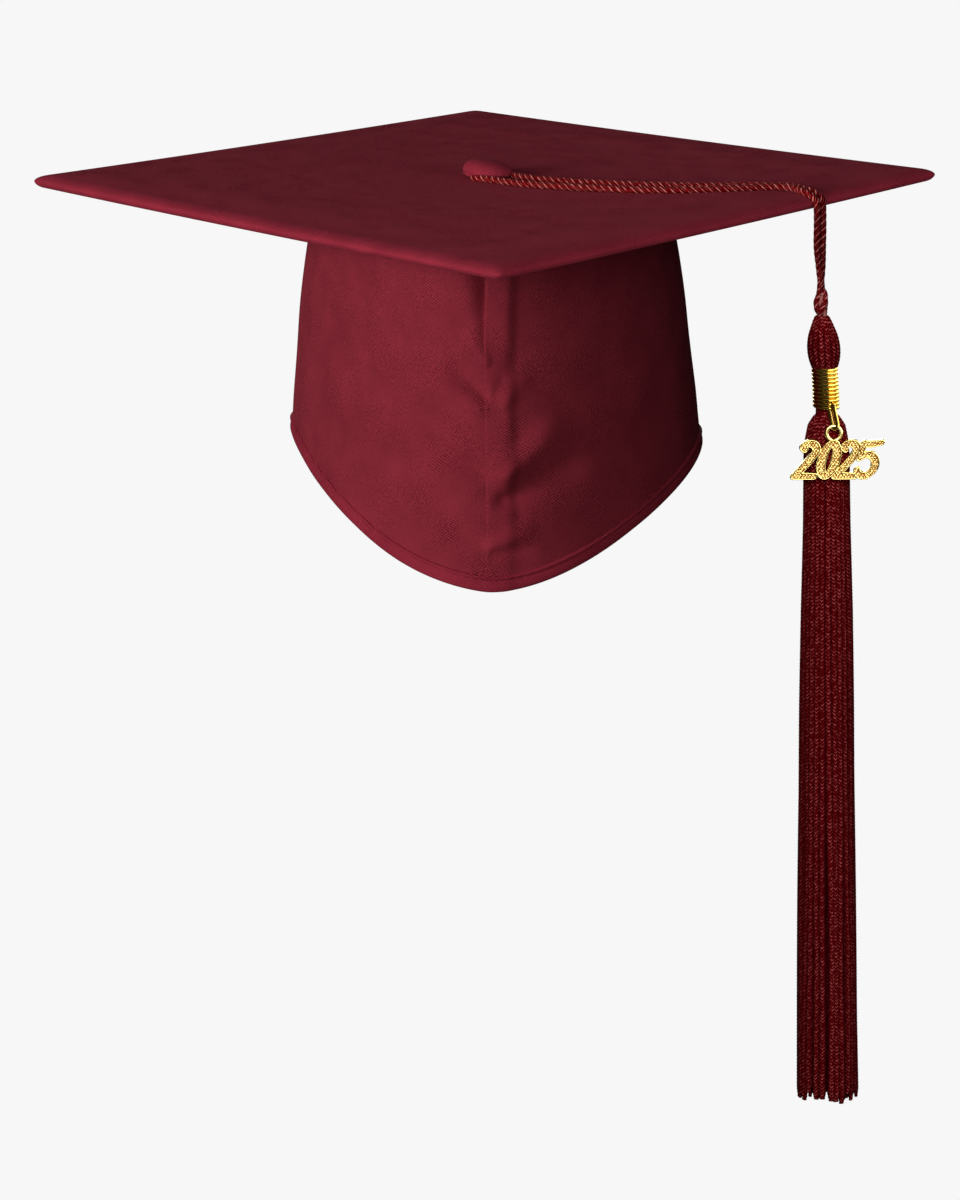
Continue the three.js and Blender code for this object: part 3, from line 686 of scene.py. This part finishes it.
def crown_wall(angles, arc, depth, top, low, rows, share=1.0, hidden=False):
    """Points of one face of a crown layer: columns of heights from top to low at each angle."""
    t = np.linspace(0, 1, rows)[None, :]
    top_x, top_y, _, _ = crown_flat(angles, np.zeros_like(angles))
    high = (top + sag(top_x, top_y))[:, None]
    z = high + (low[:, None] - high) * t
    angle = np.broadcast_to(angles[:, None], z.shape)
    along = np.broadcast_to(arc[:, None], z.shape)
    x, y, nx, ny = crown_flat(angle, z)
    out = creases(x, y, z, angle, along, hidden) * share - depth
    return np.stack([x + nx * out, y + ny * out, z], -1), np.stack([along, z, z * 0], -1)


def crown_angles(start, end, fine, coarse, side):
    """Angles on one side, close together near the front seam, and their distance round the crown."""
    dense = np.radians(np.linspace(0, 180, 4001))
    x, y, _, _ = crown_flat(dense * side, np.full_like(dense, -50.0))
    arc = join([[0], np.cumsum(np.hypot(np.diff(x), np.diff(y)))])
    a0, a1 = (np.interp(abs(v), np.degrees(dense), arc) for v in (start, end))
    marks, at = [], a0
    while at < a1:
        marks.append(at)
        at += fine + (coarse - fine) * float(ease(18, 45, at))
    marks = np.array(marks) * (a1 - a0) / (at - a0) + a0 * (1 - (a1 - a0) / (at - a0))
    marks = np.append(marks, a1)
    return np.interp(marks, arc, dense), marks


def crown_layer(name, material, side, depths, steps, rows, share, end=179.95, low=1.2, hidden=True):
    """One side's layer of cloth, lining or stiffening between two depths behind the crown's face."""
    angles, arc = crown_angles(0.05, end, *steps, side)
    foot = hem_z(angles * side) + low
    faces = [crown_wall(angles * side, arc, d, CROWN_TOP, foot, rows, share, hidden) for d in depths]
    points = join([faces[0][0], faces[1][0][:, ::-1]], 1)
    cloth = join([faces[0][1], faces[1][1][:, ::-1]], 1)
    if not hidden:
        points, cloth = turned_edge(points, cloth, rows) if side > 0 else tucked_edge(points, cloth)
    return one(name, material, points, cloth)


def tucked_edge(points, cloth):
    """The left panel's edge at the front seam, carried on under the right panel."""
    steps = ((1.4, 1.0), (0.8, 0.6), (0.4, 0.15))
    more = [points[0] + [aside, deep, 0] for aside, deep in steps]
    marks = [cloth[0] - [aside, 0, 0] for aside, deep in steps]
    return join([more, points]), join([marks, cloth])


def turned_edge(points, cloth, rows):
    """The right panel's edge at the front seam: its cloth turned under in a round fold."""
    more, marks = [], []
    outer, inner = points[0, :rows], points[0, rows:]
    steps = ((7.4, -0.2), (4.0, -0.2), (2.0, -0.25), (1.1, -0.32), (0.62, -0.36), (0.3, -0.28),
        (0.1, -0.08))
    for deep, aside in steps:
        edge = outer + [aside, deep, 0]
        under = inner + [1.0 + aside, max(deep - 0.8, 0) + 0.1, 0]
        more.append(join([edge, under]))
        marks.append(cloth[0] - [deep, 0, 0])
    shift = np.zeros_like(points)
    near = np.clip(1 - np.arange(len(points)) / 3, 0, 1)[:, None]
    shift[..., 0] = 0.25 * near
    return join([more, points + shift]), join([marks, cloth])


panels, linings, stiffeners = {}, {}, []
for word, side in (("right", 1), ("left", -1)):
    panels[word] = crown_layer(
        f"crown_cloth_{word}", CLOTH, side, (0.0, 0.75), (0.6, 1.7), 100, 1.0, hidden=False
    )
    linings[word] = crown_layer(f"crown_lining_cloth_{word}", LINING, side, (2.0, 2.6), (3.0, 3.4),
        34, 0.75)
    stiffeners.append(
        crown_layer(f"crown_buckram_{word}", BUCKRAM, side, (1.05, 1.6), (2.4, 3.4), 34, 0.85, end=126)
    )


def full_round(start, end, fine, coarse):
    """Angles from the right round to the left, with the distance from the front seam on either side."""
    right, right_arc = crown_angles(start, end, fine, coarse, 1)
    left, left_arc = crown_angles(start, end, fine, coarse, -1)
    return join([right, TAU - left[::-1][1:]]), join([right_arc, left_arc[::-1][1:]])


angles, arc = full_round(135, 179.9, 2, 2)
z = hem_z(angles)[:, None] + 1.8 + 5.2 * (1 - np.linspace(0, 1, 6)[None, :])
angle, along = (np.broadcast_to(v[:, None], z.shape) for v in (angles, arc))
x, y, nx, ny = crown_flat(angle, z)
gathers = creases(x, y, z, angle, along, True) * 0.85
layers = [np.stack([x + nx * (gathers - d), y + ny * (gathers - d), z], -1) for d in (1.05, 1.6)]
points = join([layers[0], layers[1][:, ::-1]], 1)
elastic = one("nape_elastic", WEBBING, points, xyz(np.tile(along, (1, 2)), points[..., 2], 0.0))

HEM_PROFILE = np.array([
    [0.3, -0.05], [-0.2, 0.1], [-0.56, 0.45], [-0.76, 1.1], [-0.82, 1.9], [-0.78, 2.8], [-0.64, 3.6],
    [-0.46, 4.15],
    [-0.4, 4.45], [-0.58, 4.62], [-0.86, 4.8], [-0.98, 5.1], [-0.92, 5.45], [-0.6, 5.8], [-0.1, 6.05],
    [0.3, 6.1],
    [0.4, 5.2], [0.4, 2.8], [0.36, 1.3], [0.5, 0.95], [1.2, 0.9], [2.4, 0.95], [2.72, 1.2], [2.74, 3.5],
    [2.74, 6.4],
    [2.95, 6.8], [3.3, 6.75], [3.5, 6.4], [3.55, 4.0], [3.5, 1.2], [3.3, 0.4], [2.6, 0.0], [1.4, -0.1],
])


def hem_band():
    angles, arc = full_round(0.0, 180.0, 1.0, 1.7)
    angles, arc = angles[:-1], arc[:-1]
    low = hem_z(angles)[:, None]
    z = low + HEM_PROFILE[None, :, 1]
    angle, along = (np.broadcast_to(v[:, None], z.shape) for v in (angles, arc))
    x, y, nx, ny = crown_flat(angle, z)
    turn = np.where(angle > pi, angle - TAU, angle)
    near = creases(x, y, np.broadcast_to(low + 5.0, z.shape), turn, along)
    out = near * 0.9 - HEM_PROFILE[None, :, 0]
    pucker = 0.08 * np.cos(along / 3.4 * TAU) * np.exp(-((HEM_PROFILE[None, :, 1] - 4.9) ** 2) / 1.2)
    out = out + pucker * (HEM_PROFILE[None, :, 0] < 0)
    points = np.stack([x + nx * out, y + ny * out, z], -1)
    return points, np.stack([along, z, z * 0], -1)


points, cloth = hem_band()
hem = one("hem_fold", CLOTH_PAINTED_LIGHTER, points, cloth, closed=True)


angles = CIRCLE
x, y, _, _ = crown_flat(angles, np.full_like(angles, 0.9))
size = np.hypot(x, y)
profile = [(3.4, 0.7), (3.4, 0.35), (3.7, 0.05), (4.5, 0.0)] + [(v, 0.0) for v in range(8, 60, 7)]
rings = np.array([xyz(x * (1 - d / size), y * (1 - d / size), np.full_like(x, h)) for d, h in profile])
rings = join([(rings[-1] * [0.04, 0.04, 1])[None], rings[::-1]])
upper = (rings * [1, 1, 0] + [0, 0, 0.7])[::-1][1:]
rings[..., 2] += sag(rings[..., 0], rings[..., 1])
upper[..., 2] += sag(upper[..., 0], upper[..., 1])
rings = join([rings, upper])
ceiling = one("crown_ceiling_cloth", LINING, rings, rings * [1, 1, 0])

# --- button
RIM_Z, DOME = 7.55, 5.7
BUTTON_AT = np.array([1.1, -0.3, 0.0])


def button_rings(inset=0.0, pleats=1.0):
    turn = CIRCLE
    low = [(5.6, 0.6), (5.7, -0.1), (7.2, -0.25), (8.6, -0.15), (9.2, 0.15), (9.48, 0.6)]
    profile = [(r - inset, z + inset * 0.6) for r, z in low]
    for a in np.radians(np.linspace(8, 88, 22)):
        profile.append(((9.5 - inset) * cos(a) ** 0.82, 0.6 + (DOME - 0.6 - inset) * sin(a)))
    rings = []
    for r, z in profile:
        share = max(0.0, z / DOME)
        pleat = pleats * (1 - ease(-0.2, 2.4, z)) * (0.16 * np.cos(turn * 19) + 0.08 * np.cos(turn * 11 + 1))
        around = r + pleat + 0.05 * np.cos(2 * turn + 0.5) + 0.04 * np.cos(3 * turn)
        tip = -1.9 * share**1.5
        lean = -0.035 * around * np.cos(turn) * share
        rings.append(np.stack([around * np.cos(turn) + tip, around * np.sin(turn), RIM_Z + z + lean * 2],
            -1))
    return np.array(rings) + BUTTON_AT


rings = button_rings()
cloth = np.stack([rings[..., 0], rings[..., 1] + rings[..., 2] * 0.6, rings[..., 0] * 0], -1)
button = one("button_cloth", CLOTH_PAINTED_LIGHTER, rings, cloth)
rings = button_rings(0.9, 0.0)
shell = one("button_shell_cup", STEEL, rings, rings)

# --- loop cord
CORD_R = 1.32
EDGE_CROSSING, CORD_PITCH = 49.6, 3.3


def over_edge(out, along, z):
    x, y = (out + along) * HALF_ROOT, (along - out) * HALF_ROOT
    return [x, y, z + float(sag(x, y)) * float(ease(-14, -2, z))]


def sway(z):
    """How far the hanging parts stand to the right of the board's own upright, in mm."""
    return np.interp(z, [-342, -120, -75, -66, -50, -34, 0], [5.1, 1.6, 0.92, 0.63, -0.45, -1.55, -2.6])


def spot(points):
    """Places given from the tassel's axis, moved to where it hangs."""
    points = np.asarray(points, float) + TASSEL
    points[..., 0] += sway(points[..., 2])
    return points


def edge_bend(side):
    """One run from the board's top, over its edge and down to the knot. side is -1 or 1."""
    points = []
    along = EDGE_CROSSING + side * CORD_PITCH / 2
    for a in np.radians([72, 50, 30, 12]):
        out = SIDE / 2 - EDGE_WIDE + (EDGE_WIDE + CORD_R) * cos(a)
        points.append(over_edge(out, along, EDGE_LOW + (EDGE_HIGH + CORD_R) * sin(a)))
    ways = ((1.0, 1.6, -4), (0.95, 1.5, -11), (0.75, 1.0, -19), (0.5, 0.0, -25), (0.3, -1.0, -30))
    for share, apart, z in ways:
        loose = np.array(over_edge(DROP_OUT, along, z))
        tight = spot([apart * side * HALF_ROOT * 0.9, apart * side * HALF_ROOT * 0.9, z])
        points.append(list(loose * share + tight * (1 - share)) if share > 0.9 else list(tight))
    return points


NEAR_RUN = [(111.5, -40.5), (104, -38.5), (92, -40), (76, -41.2), (58, -40), (36, -33.4), (18, -26),
    (7, -18.6), (0.5, -13)]
ROUND_SHANK = [(-4.0, -8.2), (-4.6, -2), (-2.2, 3.4), (3, 4.4)]
FAR_RUN = [(8, -0.6), (14, -9.6), (27.5, -18.4), (42, -24.2), (57, -29.0), (72, -32.4), (88, -34.8),
    (101, -35.6), (111, -38)]


def on_top(x, y):
    under = 0.75 * exp(-((x * x + y * y) / 110) ** 2)
    inset = SIDE / 2 - (x - y) * HALF_ROOT
    return [x, y, float(cover_top(inset) + sag(x, y)) + CORD_R + 0.02 - under]


near, far = edge_bend(-1)[::-1], edge_bend(1)
cord_path = spline(near + [on_top(x, y) for x, y in NEAR_RUN + ROUND_SHANK + FAR_RUN] + far, 0.42)
rings, cloth = rope_rings(cord_path, CORD_R)
loop_cord = one("loop_cord", CORD, rings, cloth)
loop_length = lengths(cord_path)[-1]

# --- tassel
KNOT_TOP, KNOT_LOW = -29.5, -38.3


def knot_body():
    """A tight overhand knot: one turn bulges out at the left, and the other lies across it."""
    heap = Heap()
    top, low = KNOT_TOP, KNOT_LOW
    turns = (
        ([[0.4, 0.1, top + 1.4], [-0.7, -0.5, top - 0.2], [-1.75, -0.9, top - 2.6],
            [-1.7, -0.9, top - 5.2], [-0.7, -0.4, top - 7.6], [0.2, 0, low - 0.6]], 1.18),
        ([[0.9, -0.2, top + 1.4], [1.35, -1.0, top - 0.8], [1.0, -1.75, top - 3.0],
            [0.1, -1.9, top - 5.0], [-0.5, -1.3, top - 7.2], [-0.4, -0.2, low - 0.2]], 1.16),
        ([[1.0, 0.2, top + 0.8], [1.5, 0.5, top - 2.0], [1.35, 0.6, top - 5.0], [0.7, 0.2, top - 7.6],
            [0.2, 0, low - 0.6]], 1.12),
        ([[0.0, 0.6, top + 0.8], [-0.9, 1.5, top - 2.0], [0.2, 1.9, top - 4.4], [1.1, 1.2, top - 6.8],
            [0.5, 0.2, low]], 1.12),
    )
    for line, radius in turns:
        rings, cloth = rope_rings(spline(spot(line), 0.3), radius, sides=24)
        heap.loft(rings, cloth)
    core = spot([[0.1, 0, top + 0.6], [0.1, 0, top - 1.5], [0, 0, top - 4], [0.1, 0, low]])
    heap.loft(tube_rings(spline(core, 0.6), 1.75, 24))
    return heap.object("knot_cord", CORD)


knot = knot_body()


def chain_rings(path, radius, sides, stitch=KNIT_STITCH, face=None, depth=0.1, wide=1.3):
    """A chainette strand: a flat knitted tube whose loops lie in chevrons down its outer face."""
    s = lengths(path)
    radius = np.asarray(radius, float).reshape(-1, 1)
    turn = np.arange(sides) / sides * TAU
    off = np.where(turn > pi, turn - TAU, turn)[None, :]
    across = off * radius * wide * 0.8
    phase = TAU * (s[:, None] + 0.9 * np.abs(across)) / stitch
    oval = 0.82 / np.sqrt(np.cos(off) ** 2 + (np.sin(off) * 0.82 / wide) ** 2)
    r = radius * oval * (1 + depth * np.sin(phase))
    cloth = np.stack([np.broadcast_to(s[:, None], r.shape), across, r * 0], -1)
    return tube_rings(path, r, sides, face), cloth


HEAD_LINE = [(0.6, -40.6), (1.3, -38.2), (2.1, -37.9), (2.9, -39.4), (3.7, -41.8), (4.7, -45.2),
    (5.25, -49.4), (5.05, -53.2), (4.2, -56.8), (3.2, -59.6)]


def head_body(count=15):
    heap = Heap()
    line = spline([(r, 0, z) for r, z in HEAD_LINE], 0.28)
    for k in range(count):
        a = (k + 0.5) / count * TAU + 0.1
        way = np.array([cos(a), sin(a), 0])
        path = line[:, :1] * way * [1, 0.92, 1] + line * [0, 0, 1]
        sway_aside = 0.08 * np.sin(line[:, 2] * 0.5 + k * 2.1)[:, None] * np.array([-sin(a), cos(a), 0])
        radius = np.clip(line[:, 0] * pi / count, 0.2, 1.1)
        rings, cloth = chain_rings(spot(path + sway_aside), radius, 12, KNIT_STITCH, -way)
        heap.loft(rings, cloth + [k * 3.7, 0, k * 5.1])
    core = [(0.2, -59.6), (3.0, -59.4), (3.9, -57), (4.7, -53), (4.9, -49.4), (4.3, -45.2), (3.2, -41.6),
        (1.9, -39.8), (0.2, -39.6)]
    t = np.arange(24) / 24 * TAU
    rings = np.array([np.stack([r * np.cos(t), r * np.sin(t) * 0.92, t * 0 + z], -1) for r, z in core])
    heap.loft(spot(rings), np.stack([rings[..., 2], rings[..., 0], rings[..., 0] * 0], -1))
    return heap.object("head_chainette", CHAINETTE)


head = head_body()

SKIRT_LOW = -341.5
SKIRT_STATIONS = np.array([
    [-72.0, 2.9, 2.9], [-74.6, 3.6, 3.4], [-76, 5.0, 4.4], [-79, 6.9, 5.4], [-84, 7.9, 6.2],
    [-91, 8.5, 6.7], [-116, 8.8, 7.0],
    [-150, 9.7, 7.4], [-189, 10.4, 7.8], [-260, 11.2, 8.2], [-345, 12.1, 8.6],
])


def skirt_half(z):
    s = SKIRT_STATIONS[::-1]
    return np.interp(z, s[:, 0], s[:, 1]), np.interp(z, s[:, 0], s[:, 2])


def oval_round(a, b):
    return pi * (3 * (a + b) - np.sqrt((3 * a + b) * (a + 3 * b)))


def strand_path(angle, share, rng, step, low):
    z = np.arange(-72.0, low, -step)
    a, b = skirt_half(z)
    drift = rng.normal(0, 1, 3)
    free = ease(-80, -200, z)
    wander = free * (0.028 * drift[0] * np.sin(-z / 61 + drift[1]) + 0.012 * np.sin(-z / 17 + 3 * drift[2]))
    inward = 1 - 0.03 * free * (1 + np.sin(-z / 43 + 5 * drift[1]))
    way = angle + wander
    return np.stack([a * share * inward * np.cos(way), b * share * inward * np.sin(way), z], -1)


def skirt_body(name, strands, share, seed, sides, step, stitch, depth, tight=1.05):
    heap = Heap()
    rng = np.random.default_rng(seed)
    count = len(strands[1])
    for k in strands[0]:
        angle = strands[1][k] + rng.uniform(-0.16, 0.16) * TAU / count
        own_share = share * (1 + rng.uniform(-0.025, 0.02))
        path = strand_path(angle, own_share, rng, step, SKIRT_LOW - rng.uniform(-1.2, 3.2))
        a, b = skirt_half(path[:, 2])
        radius = oval_round(a * share, b * share) / count / 2 * tight
        radius *= 1 + 0.02 * rng.normal() - 0.35 * ease(4, 0, path[:, 2] - path[-1, 2])
        way = np.array([cos(angle), sin(angle), 0])
        rings, cloth = chain_rings(spot(path), radius, sides, stitch, way, depth)
        cloth = cloth + [rng.uniform(0, 40), 0, k * 3.1]
        heap.loft(rings, cloth)
    return heap.object(name, CHAINETTE)


OUTER = 26
outer_angles = (np.arange(OUTER) + 0.5) / OUTER * TAU
skirts = []
for part in range(4):
    members = range(part * OUTER // 4, (part + 1) * OUTER // 4)
    name = f"skirt_outer_{part + 1}"
    skirts.append(skirt_body(name, (members, outer_angles), 0.92, 11 + part, 12, 0.3, KNIT_STITCH, 0.1))
MIDDLE = 24
middle_angles = np.arange(MIDDLE) / MIDDLE * TAU + 0.05
skirts.append(skirt_body("skirt_middle", (range(MIDDLE), middle_angles), 0.72, 21, 6, 0.9, 1.8, 0.1))
INNER = 16
inner_angles = np.arange(INNER) / INNER * TAU + 0.2
skirts.append(skirt_body("skirt_inner", (range(INNER), inner_angles), 0.44, 31, 6, 1.2, 2.4, 0.08))

# --- ferrule, link and charm
COIL_R, COIL_TOP, COIL_PITCH, COIL_TURNS = 4.3, -57.4, 1.46, 10.83
LINK_ANGLE = radians(17 - 90)
LINK_WIRE, LINK_HALF, LINK_REACH, LINK_TWIST = 0.66, 1.4, 8.4, radians(38)
EYE_X, EYE_Z, EYE_OUTER, EYE_INNER = 2.0, -80.4, 3.4, 2.0
LINK_TOP_Z, LINK_LOW_Z = -70.9, EYE_Z + EYE_INNER + 0.3


def coil_body():
    t = np.linspace(0, COIL_TURNS, int(COIL_TURNS * 48))
    a = LINK_ANGLE - 1.6 + t * TAU
    fall = COIL_PITCH * np.clip(t - 0.35, 0, COIL_TURNS - 0.7)
    path = np.stack([COIL_R * np.cos(a), COIL_R * np.sin(a), COIL_TOP - fall], -1)
    return one("ferrule_wire", GOLD_WIRE, tube_rings(spot(path), 0.72, 16, [0, 0, 1]))


coil = coil_body()


def link_body():
    """A long oval of wire from the ferrule's last turn to the charm's eye, turned a little to the viewer."""
    high, low = np.array([COIL_R, 0, LINK_TOP_Z]), np.array([LINK_REACH, 0, LINK_LOW_Z])
    down = (low - high) / np.linalg.norm(low - high)
    flat = np.array([-down[2], 0, down[0]])
    aside = flat * cos(LINK_TWIST) + np.array([0, 1, 0]) * sin(LINK_TWIST)
    path = []
    for a in np.radians(np.arange(0, 360, 6)):
        centre = high + down * (LINK_HALF * 0.6) if a < pi - 1e-6 else low - down * (LINK_HALF * 0.6)
        path.append(centre + aside * LINK_HALF * cos(a) * 0.85 - down * LINK_HALF * sin(a))
    path = resample(np.array(path + path[:1]), 0.35)[:-1]
    e = np.array([cos(LINK_ANGLE), sin(LINK_ANGLE), 0])
    side = np.array([-sin(LINK_ANGLE), cos(LINK_ANGLE), 0])
    path = path[:, :1] * e + path[:, 1:2] * side + path[:, 2:] * [0, 0, 1]
    around = np.roll(path, -1, 0) - np.roll(path, 1, 0)
    around /= np.linalg.norm(around, axis=1, keepdims=True)
    face = np.cross(down[0] * e + [0, 0, down[2]], aside[0] * e + aside[1] * side + [0, 0, aside[2]])
    out = np.cross(around, face)
    t = np.radians(np.arange(0, 360, 24))
    t = t[None, :, None]
    rings = path[:, None] + LINK_WIRE * (np.cos(t) * out[:, None] * 1.25 + np.sin(t) * face)
    return one("link_wire", GOLD_WIRE, spot(rings), closed=True)


link = link_body()

CHARM_Y = LINK_REACH * sin(LINK_ANGLE)
SLANT, MIDDLE_Z, THICK, NARROW, BOLD = 0.26, -90.3, 1.2, 0.945, 1.15


def oval_stroke(rx, rz, w_side, w_end):
    a = np.linspace(0, TAU, 65)
    return np.stack([rx * np.cos(a), rz * np.sin(a), w_end + (w_side - w_end) * np.cos(a) ** 2], -1)


def numeral_strokes():
    """Plain italic numerals of the charm's own: lists of x, z and half width down each stroke's middle."""
    two = [
        spline([(-1.7, 3.9, 1.15), (-2.75, 4.9, 1.25), (-1.3, 6.15, 1.25), (1.2, 5.8, 1.4),
            (2.75, 3.8, 1.5), (1.6, 0.6, 1.5), (-1, -3.2, 1.4), (-3.2, -6, 1.3)], 0.25),
        spline([(-3.6, -6.25, 1.2), (0, -6.2, 1.25), (4.5, -6.3, 1.15)], 0.25),
    ]
    zero = [oval_stroke(2.75, 6.15, 1.75, 1.3)]
    five = [
        spline([(-3.6, 5.9, 1.15), (0, 5.85, 1.2), (3.4, 6.4, 1.0)], 0.25),
        spline([(-3.4, 6.2, 1.1), (-3.65, 3.4, 1.15), (-3.8, 1.0, 1.1)], 0.25),
        spline([(-4.0, 0.5, 1.1), (-0.8, 1.9, 1.3), (2.3, 0, 1.45), (2.8, -3.4, 1.5), (0.4, -6.1, 1.35),
            (-3, -5.4, 1.25), (-3.8, -3.8, 1.1)], 0.25),
    ]
    return [(two, -8.8), (zero, -0.2), (two, 7.2), (five, 15.6)]


def stroke_depth(x, z, line):
    """How far points lie inside a stroke, in mm; negative outside."""
    best = np.full(x.shape, -99.0)
    for (x0, z0, w0), (x1, z1, w1) in zip(line[:-1], line[1:]):
        dx, dz = x1 - x0, z1 - z0
        t = np.clip(((x - x0) * dx + (z - z0) * dz) / (dx * dx + dz * dz + 1e-9), 0, 1)
        best = np.maximum(best, BOLD * (w0 + (w1 - w0) * t) - np.hypot(x - x0 - dx * t, z - z0 - dz * t))
    return best


def charm_body(cell=0.13):
    x = np.arange(-16.5, 25, cell)
    z = np.arange(MIDDLE_Z - 9, MIDDLE_Z + 9.2, cell)
    gx, gz = np.meshgrid(x, z, indexing="ij")
    inside = np.full(gx.shape, -99.0)
    high = np.zeros(gx.shape)
    for strokes, centre in numeral_strokes():
        up = gz - MIDDLE_Z
        across = gx / NARROW - centre - SLANT * up
        deep = np.full(gx.shape, -99.0)
        for line in strokes:
            deep = np.maximum(deep, stroke_depth(across, up, line))
        inside = np.maximum(inside, deep)
        rim = np.sqrt(np.maximum(0, 1 - ((deep - 0.3) / 0.3) ** 2)) * 0.42
        grain = np.cos((across * 0.8 + up) * TAU / 0.82) * np.cos((across - up * 0.8) * TAU / 0.82)
        field = np.where(deep > 0.56, 0.10 + 0.2 * np.maximum(grain, -0.3), 0)
        high = np.maximum(high, np.where(deep > 0, np.maximum(rim, field), 0))
    slope_x, slope_z = np.gradient(inside, cell)
    size = np.maximum(np.hypot(slope_x, slope_z), 1e-6)
    near = (inside < 0.2 * cell) & (inside > -0.95 * cell)
    px = np.where(near, gx + slope_x / size**2 * -inside, gx)
    pz = np.where(near, gz + slope_z / size**2 * -inside, gz)
    high = np.where(near, 0, high)
    used = inside > -0.95 * cell
    quads = grid(*gx.shape)
    quads = quads[used.ravel()[quads].all(1)]
    edges = join([quads[:, [0, 1]], quads[:, [1, 2]], quads[:, [2, 3]], quads[:, [3, 0]]])
    keys = {}
    for a, b in edges:
        keys[(a, b)] = keys.get((a, b), 0) + 1
    rim_edges = [(a, b) for a, b in keys if (b, a) not in keys]
    total = gx.size
    front = np.stack([px.ravel(), -THICK / 2 - high.ravel(), pz.ravel()], -1)
    back = np.stack([px.ravel(), np.full(total, THICK / 2), pz.ravel()], -1)
    walls = [(b, a, a + total, b + total) for a, b in rim_edges]
    heap = Heap()
    kept = np.unique(quads)
    index = np.full(2 * total, -1)
    both = join([kept, kept + total])
    index[both] = np.arange(len(both))
    points = join([front, back])[both]
    faces = join([quads, quads[:, ::-1] + total, np.array(walls)])
    depth = join([inside.ravel()] * 2)[both]
    cloth = np.stack([points[:, 0], points[:, 2], np.where(points[:, 1] < 0, depth, 0)], -1)
    heap.add(spot(points + [0.3, CHARM_Y, 0]), index[faces], (), cloth)
    t = np.radians(np.arange(0, 360, 5))
    radius, tube = (EYE_OUTER + EYE_INNER) / 2, (EYE_OUTER - EYE_INNER) / 2
    rings = []
    for a in t:
        section = np.radians(np.arange(0, 360, 20))
        r = radius + tube * np.cos(section)
        y = 0.62 * np.sin(section) * (1 + 0.12 * np.cos(2 * section))
        rings.append(np.stack([EYE_X + r * cos(a), CHARM_Y + y, EYE_Z + r * sin(a)], -1))
    heap.ring(spot(np.array(rings)))
    return heap.object("charm_numerals", GOLD_CAST)


charm = charm_body()

for name, material in (
    ("button_back_plate", STEEL), ("button_rivet", STEEL), ("button_washer", STEEL),
    ("tassel_inner_knot", CORD), ("tassel_neck", CHAINETTE),
):
    nodes[name].data.materials.clear()
    nodes[name].data.materials.append(material)

# --- bodies, with the old parts they replace hidden
for piece, body, slot, old in (
    (board_cover, "cap", "maroon_cloth", ["board_cover_top"]),
    (board_base, "cap", "maroon_cloth", ["board_cover_underside"]),
    (core, "cap", "chipboard", ["board_core"]),
    (wadding, "cap", "wadding", ["board_padding"]),
    (shell, "cap", "steel", ["button_shell"]),
    (panels["right"], "cap", "maroon_cloth", ["crown_panel_right"]),
    (panels["left"], "cap", "maroon_cloth", ["crown_panel_left"]),
    (linings["right"], "cap", "lining_cloth", ["crown_lining_right"]),
    (linings["left"], "cap", "lining_cloth", ["crown_lining_left"]),
    (stiffeners[0], "cap", "buckram", ["crown_stiffener"]),
    (stiffeners[1], "cap", "buckram", ["crown_stiffener"]),
    (elastic, "cap", "elastic_webbing", ["elastic_band"]),
    (hem, "cap", "maroon_cloth", ["hem_binding"]),
    (ceiling, "cap", "lining_cloth", ["crown_ceiling"]),
    (button, "cap", "maroon_cloth", ["button_cover"]),
    (knot, "tassel", "maroon_cord", ["tassel_knot"]),
    (head, "tassel", "maroon_cord", ["tassel_head"]),
    (coil, "tassel", "gold", ["ferrule_coil"]),
    (link, "charm_link", "gold", ["charm_link"]),
    (charm, "year_charm", "gold", ["year_charm"]),
):
    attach(piece, body)
    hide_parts(*old)
strand_nodes = [f"skirt_strand_{k:02d}" for k in range(1, 13)]
bundles = [strand_nodes[k : k + 3] for k in (0, 3, 6, 9)]
for piece, old in zip(skirts, bundles + [["skirt_core"]] * 2):
    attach(piece, "tassel")
    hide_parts(*old)
over_x, over_y, _ = spot([0.0, 0.0, 0.0]) * MM
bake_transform(loop_cord)
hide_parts("loop_cord_board", "loop_cord_drop_near", "loop_cord_drop_far")

# --- floor
FLOOR_Z, FLOOR_HALF = -0.365, 9
corners = [[x * FLOOR_HALF, y * FLOOR_HALF, FLOOR_Z] for x, y in ((-1, -1), (1, -1), (1, 1), (-1, 1))]
pale = Shader("floor_pale")
pale.set(Base_Color=(0.8, 0.8, 0.8, 1), Roughness=0.9)
seen_as(pale.tree, pale.base, glowing(pale.tree, "ShaderNodeEmission", BACKDROP), "Material Output")
floor = build("floor", np.array(corners) / MM, [[0, 1, 2, 3]], material=pale.material, smooth=False)

# --- which lights fall where
meshes = [o for o in bpy.context.scene.objects if o.type == "MESH"]
hanging = [*skirts, head, knot, nodes["tassel_inner_knot"], nodes["tassel_neck"]]
golden = [coil, link, charm]
lit_by(tassel_lights, hanging)
lit_by(gold_lights, golden)
lit_by(charm_lights, [charm])
lit_by(board_lights, [board_cover, board_base, button])
lit_by(cord_lights, [loop_cord])
lit_by(back_lights, [o for o in meshes if o not in (board_cover, button, loop_cord, floor)])
lit_by(cap_lights, [o for o in meshes if o not in (*hanging, *golden, floor)])
